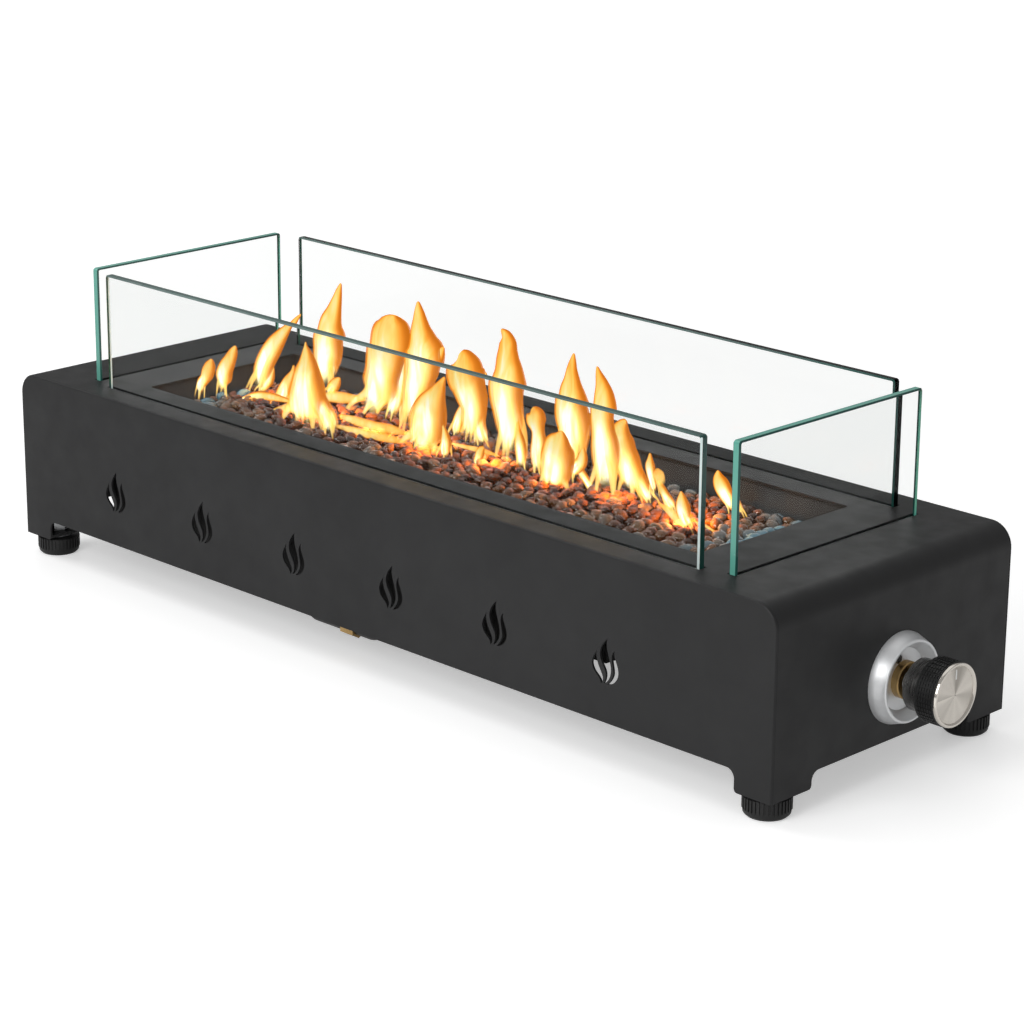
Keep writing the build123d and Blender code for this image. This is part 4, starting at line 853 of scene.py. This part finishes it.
def on_plane(column, row, y):
    """Where a pixel of the photograph lies on an upright plane at y.

    Its x and height are given in millimetres from the middle of the top."""
    focus = CAMERA_LENS * PHOTO_SIDE / SENSOR_WIDTH
    right, down = (column - 0.5 * PHOTO_SIDE) / focus, (row - 0.5 * PHOTO_SIDE) / focus
    ray = [a + right * r - down * u for a, r, u in zip(CAMERA_AHEAD, CAMERA_RIGHT, CAMERA_UP)]
    reach = (MM * y - CAMERA_PLACE[1]) / ray[1]
    x = CAMERA_PLACE[0] + reach * ray[0] - BODY_X
    z = CAMERA_PLACE[2] + reach * ray[2] - TOP_Z
    return x / MM, z / MM


def placed(y, stations, rising):
    """A tongue as (y, stations), each (x, height, half width) in millimetres from the middle of the top.

    A rising tongue that leans is thinner across than along the photograph's row."""
    points = [on_plane(column, row, y) for column, row, half in stations]
    made = []
    for index, (column, row, half) in enumerate(stations):
        low, high = points[max(index - 1, 0)], points[min(index + 1, len(points) - 1)]
        run_x, run_z = high[0] - low[0], high[1] - low[1]
        upright = abs(run_z) / math.hypot(run_x, run_z) if rising else 1.0
        wide = 0.5 * (on_plane(column + half, row, y)[0] - on_plane(column - half, row, y)[0])
        made.append((*points[index], wide * max(upright, LEAST_UPRIGHT)))
    return y, made


def eased(stations, share):
    """Smooth curve through a tongue's stations, read at a share of its length."""
    last = len(stations) - 1
    index = min(int(share * last), last - 1)
    t = share * last - index
    before, low = stations[max(index - 1, 0)], stations[index]
    high, after = stations[index + 1], stations[min(index + 2, last)]
    point = []
    for a, b, c, d in zip(before, low, high, after):
        point.append(b + 0.5 * t * (c - a + t * (2 * a - 5 * b + 4 * c - d + t * (3 * (b - c) + d - a))))
    return point


def risen(value, low, high):
    """Smooth rise from 0 at the low end to 1 at the high end."""
    t = min(max((value - low) / (high - low), 0.0), 1.0)
    return t * t * (3.0 - 2.0 * t)


def warmth(share):
    """How hot a tongue is along its length: cool root, white-hot low middle, cooler tip."""
    return min(1.0, 0.50 + 2.6 * share) * (1.0 - 0.52 * risen(share, 0.35, 1.0))


def sheet_body(share, run, middle):
    """How solid an outer sheet is: faint at its root, see-through round its heart, full above it."""
    low = 0.92 - 0.70 * middle
    return risen(share, 0.05, 0.34) * (low + (0.97 - low) * risen(share, 0.35, 0.60))


def heart_body(share, run, middle):
    """How solid a heart is: strongest in its middle."""
    return middle ** 0.8 * min(1.0, 2.6 * run) * min(1.0, 2.2 * (1.0 - run))


def strand_body(share, run, middle):
    """How solid a thin strand or low ribbon is."""
    return (0.12 + 0.50 * middle) * math.sin(math.pi * run) ** 0.8


def fringe_body(share, run, middle):
    """How solid the cool fringe round a sheet is: only its two sides show."""
    return 0.95 * (1.0 - middle) * risen(share, 0.10, 0.50)


def tongue_shell(bm, layers, y, stations, width, start, end, heat, body):
    """One closed shell of flame, cut to a share of the tongue's width and length."""
    count = STEPS_PER_STATION * len(stations)
    rows = []
    for step in range(count + 1):
        run = step / count
        share = start + (end - start) * run
        x, rise, half = eased(stations, share)
        ahead, behind = eased(stations, min(share + 0.02, 1.0)), eased(stations, max(share - 0.02, 0.0))
        run_x, run_z = ahead[0] - behind[0], ahead[1] - behind[1]
        length = max(math.hypot(run_x, run_z), 1e-6)
        side_x, side_z = run_z / length, -run_x / length
        half = max(half, 0.2) * width
        row = []
        for side in range(FLAME_SIDES if 0 < step < count else 1):
            angle = 2 * math.pi * side / FLAME_SIDES
            out = half * math.cos(angle) if 0 < step < count else 0.0
            deep = half * FLAME_DEPTH * math.sin(angle) if 0 < step < count else 0.0
            place = (BODY_X + MM * (x + out * side_x), MM * (y + deep), TOP_Z + MM * (rise + out * side_z))
            vert = bm.verts.new(place)
            middle = 1.0 - abs(math.cos(angle)) ** 3.0 if 0 < step < count else 0.5
            vert[layers["heat"]] = heat * warmth(share) * (0.02 + 0.98 * middle)
            vert[layers["whole"]] = min(1.0, 1.9 * share)
            vert[layers["body"]] = body(share, run, middle)
            row.append(vert)
        rows.append(row)
    for low, high in zip(rows, rows[1:]):
        for side in range(FLAME_SIDES):
            follow = (side + 1) % FLAME_SIDES
            if len(low) == 1:
                bm.faces.new((low[0], high[follow], high[side]))
            elif len(high) == 1:
                bm.faces.new((low[side], low[follow], high[0]))
            else:
                bm.faces.new((low[side], low[follow], high[follow], high[side]))


def strands(stations, index):
    """Thin strands that a tongue stands on, each as (shift in y, stations)."""
    foot, low, high = eased(stations, 0.0), eased(stations, 0.22), eased(stations, 0.52)
    wide = max(low[2], 2.0)
    made = []
    for number, lean in enumerate((-1.05, -0.35, 0.30, 0.95)):
        lean += 0.28 * math.sin(2.1 * index + 1.7 * number)
        made.append((3.0 * math.sin(1.3 * index + 2.9 * number), (
            (foot[0] + 1.25 * lean * wide, foot[1] - 3.0, 0.5),
            (0.5 * (foot[0] + low[0]) + 0.95 * lean * wide, 0.5 * (foot[1] + low[1]), 0.16 * wide),
            (low[0] + 0.70 * lean * wide, low[1], 0.24 * wide),
            (0.5 * (low[0] + high[0]) + 0.45 * lean * wide, 0.5 * (low[1] + high[1]), 0.22 * wide),
            (high[0] + 0.25 * lean * wide, high[1], 0.4))))
    return made


def flames():
    """Flames over the burner: sheets on thin strands, with pale hearts, and low ribbons among the beads."""
    tongues = [placed(y, stations, True) for y, stations in TONGUES]
    tongues += [placed(y, stations, False) for y, stations in RIBBONS]
    upright = [tongue for tongue in tongues if tongue[1][-1][1] - tongue[1][0][1] > LEAST_RISE]
    ribbons = [tongue for tongue in tongues if tongue not in upright]
    sheets = [(y, stations, *SHEET_SHELL, sheet_body) for y, stations in upright]
    sheets += [(y, stations, *FRINGE_SHELL, fringe_body) for y, stations in upright]
    sheets += [(y, stations, *RIBBON_SHELL, strand_body) for y, stations in ribbons]
    for index, (y, stations) in enumerate(upright):
        for shift, strand in strands(stations, index):
            sheets.append((y + shift, strand, *STRAND_SHELL, strand_body))
    hearts = [(y, stations, *HEART_SHELL, heart_body) for y, stations in upright]
    made_of = (("flame_sheets", FLAME_SHEET, sheets), ("flame_hearts", FLAME_HEART, hearts))
    for name, finish, shells in made_of:
        bm = bmesh.new()
        layers = {key: bm.verts.layers.float.new("flame_" + key) for key in ("heat", "whole", "body")}
        for shell in shells:
            tongue_shell(bm, layers, *shell)
        bmesh.ops.recalc_face_normals(bm, faces=bm.faces)
        mesh = bpy.data.meshes.new(name)
        bm.to_mesh(mesh)
        bm.free()
        mesh.materials.append(finish)
        mesh.shade_smooth()
        made = piece(name, mesh, "fire_pit", "bead_glass")
        made.visible_diffuse = False
        made.visible_glossy = False


# Stage, light and camera

CAMERA_PLACE = (1.36938, -1.36878, 0.70462)
CAMERA_RIGHT = (0.70808, 0.70609, 0.00732)
CAMERA_UP = (-0.21869, 0.20943, 0.95306)
CAMERA_AHEAD = (-0.67141, 0.67644, -0.30271)
CAMERA_LENS = 108.92

# Brightness as seen straight or through glass, in a shine, and as light
FLOOR_LEVELS = (0.42, 0.12, 0.0)
SKY_LEVELS = (1.0, 0.38, 0.5)
FLOOR_HALF_SIDE = 8.0
SENSOR_WIDTH = 36.0


def seen_level(tree, direct, mirrored, lighting):
    """A brightness of its own for what is seen straight or through glass, in a shine, and as light."""
    rays = add(tree, "ShaderNodeLightPath").outputs
    straight = math_node(tree, "MAXIMUM", rays["Is Camera Ray"], rays["Is Transmission Ray"])
    level = math_node(tree, "MULTIPLY", rays["Is Glossy Ray"], mirrored - lighting)
    level = math_node(tree, "ADD", level, lighting)
    plain = math_node(tree, "MULTIPLY", level, math_node(tree, "SUBTRACT", 1.0, straight))
    return math_node(tree, "ADD", plain, math_node(tree, "MULTIPLY", straight, direct))


def stage():
    """Pale floor and white surroundings."""
    material, tree, shader = new_finish("floor_white")
    cloud = spread(tree, speckle(tree, 2.0, 3.0), 0.0, 1.0)
    place = add(tree, "ShaderNodeTexCoord").outputs["Object"]
    away = add(tree, "ShaderNodeVectorMath", {0: place}, operation="LENGTH")
    backdrop = spread(tree, away.outputs["Value"], 1.0, 1.9, 0.8, 3.0)
    feed(tree, shader, {
        "Base Color": between(tree, cloud, (0.86, 0.86, 0.86), (0.88, 0.88, 0.88)),
        "Roughness": 0.35,
        "Specular IOR Level": 0.25,
        "Emission Color": (1.0, 1.0, 1.0, 1.0),
        "Emission Strength": math_node(tree, "MULTIPLY", seen_level(tree, *FLOOR_LEVELS), backdrop),
    })

    def plate(bm):
        bmesh.ops.create_grid(bm, x_segments=4, y_segments=4, size=FLOOR_HALF_SIDE)

    floor = bpy.data.objects.new("floor", mesh_of("floor", plate, material))
    bpy.context.scene.collection.objects.link(floor)

    world = bpy.data.worlds.new("studio")
    bpy.context.scene.world = world
    world.use_nodes = True
    tree = world.node_tree
    feed(tree, tree.nodes["Background"], {
        "Color": (1.0, 1.0, 1.0, 1.0), "Strength": seen_level(tree, *SKY_LEVELS)})


def lamp(name, place, aim, size, power):
    """Soft square lamp pointed at a spot."""
    data = bpy.data.lights.new(name, "AREA")
    data.shape = "SQUARE"
    data.size = size
    data.energy = power
    made = bpy.data.objects.new(name, data)
    bpy.context.scene.collection.objects.link(made)
    made.location = place
    made.rotation_euler = (Vector(aim) - Vector(place)).to_track_quat("-Z", "Y").to_euler()


GLOW_LAMPS = 8
GLOW_POWER = 0.50
GLOW_COLOUR = (1.0, 0.50, 0.17)
GLOW_RADIUS = 0.005
GLOW_PITCH = 0.055
GLOW_START = (BODY_X - 0.20, -0.004, TOP_Z - 0.006)


def lights():
    """Large overhead softbox, weaker ones for the front and its edges, and the fire's own glow."""
    lamp("overhead", (-0.3, 0.4, 1.9), (0.0, 0.0, 0.1), 1.8, 5.0)
    lamp("edge", (-1.25, -0.55, 1.40), (0.0, -0.1, 0.13), 0.9, 7.0)
    lamp("front", (0.28, -1.35, 0.75), (0.15, 0.0, 0.08), 0.8, 11.0)
    for index in range(GLOW_LAMPS):
        data = bpy.data.lights.new("fire_glow", "POINT")
        data.energy = GLOW_POWER
        data.color = GLOW_COLOUR
        data.shadow_soft_size = GLOW_RADIUS
        made = bpy.data.objects.new("fire_glow_%d" % index, data)
        bpy.context.scene.collection.objects.link(made)
        made.location = (GLOW_START[0] + GLOW_PITCH * index, *GLOW_START[1:])
        made.visible_camera = False
        made.visible_glossy = False
        made.visible_transmission = False


def camera():
    """Camera at the photograph's place."""
    data = bpy.data.cameras.new("camera")
    data.sensor_width = SENSOR_WIDTH
    data.lens = CAMERA_LENS
    data.clip_start = 0.05
    made = bpy.data.objects.new("camera", data)
    bpy.context.scene.collection.objects.link(made)
    columns = [Vector(CAMERA_RIGHT), Vector(CAMERA_UP), -Vector(CAMERA_AHEAD)]
    turn = Matrix(columns).transposed().to_4x4()
    made.matrix_world = Matrix.Translation(CAMERA_PLACE) @ turn
    bpy.context.scene.camera = made


dress_cad_shapes()
dress_panes()
knob_grip()
knob_cap()
collar_clip()
feet()
fire_glass()
flames()
stage()
lights()
camera()
bpy.context.scene.view_settings.view_transform = "Standard"
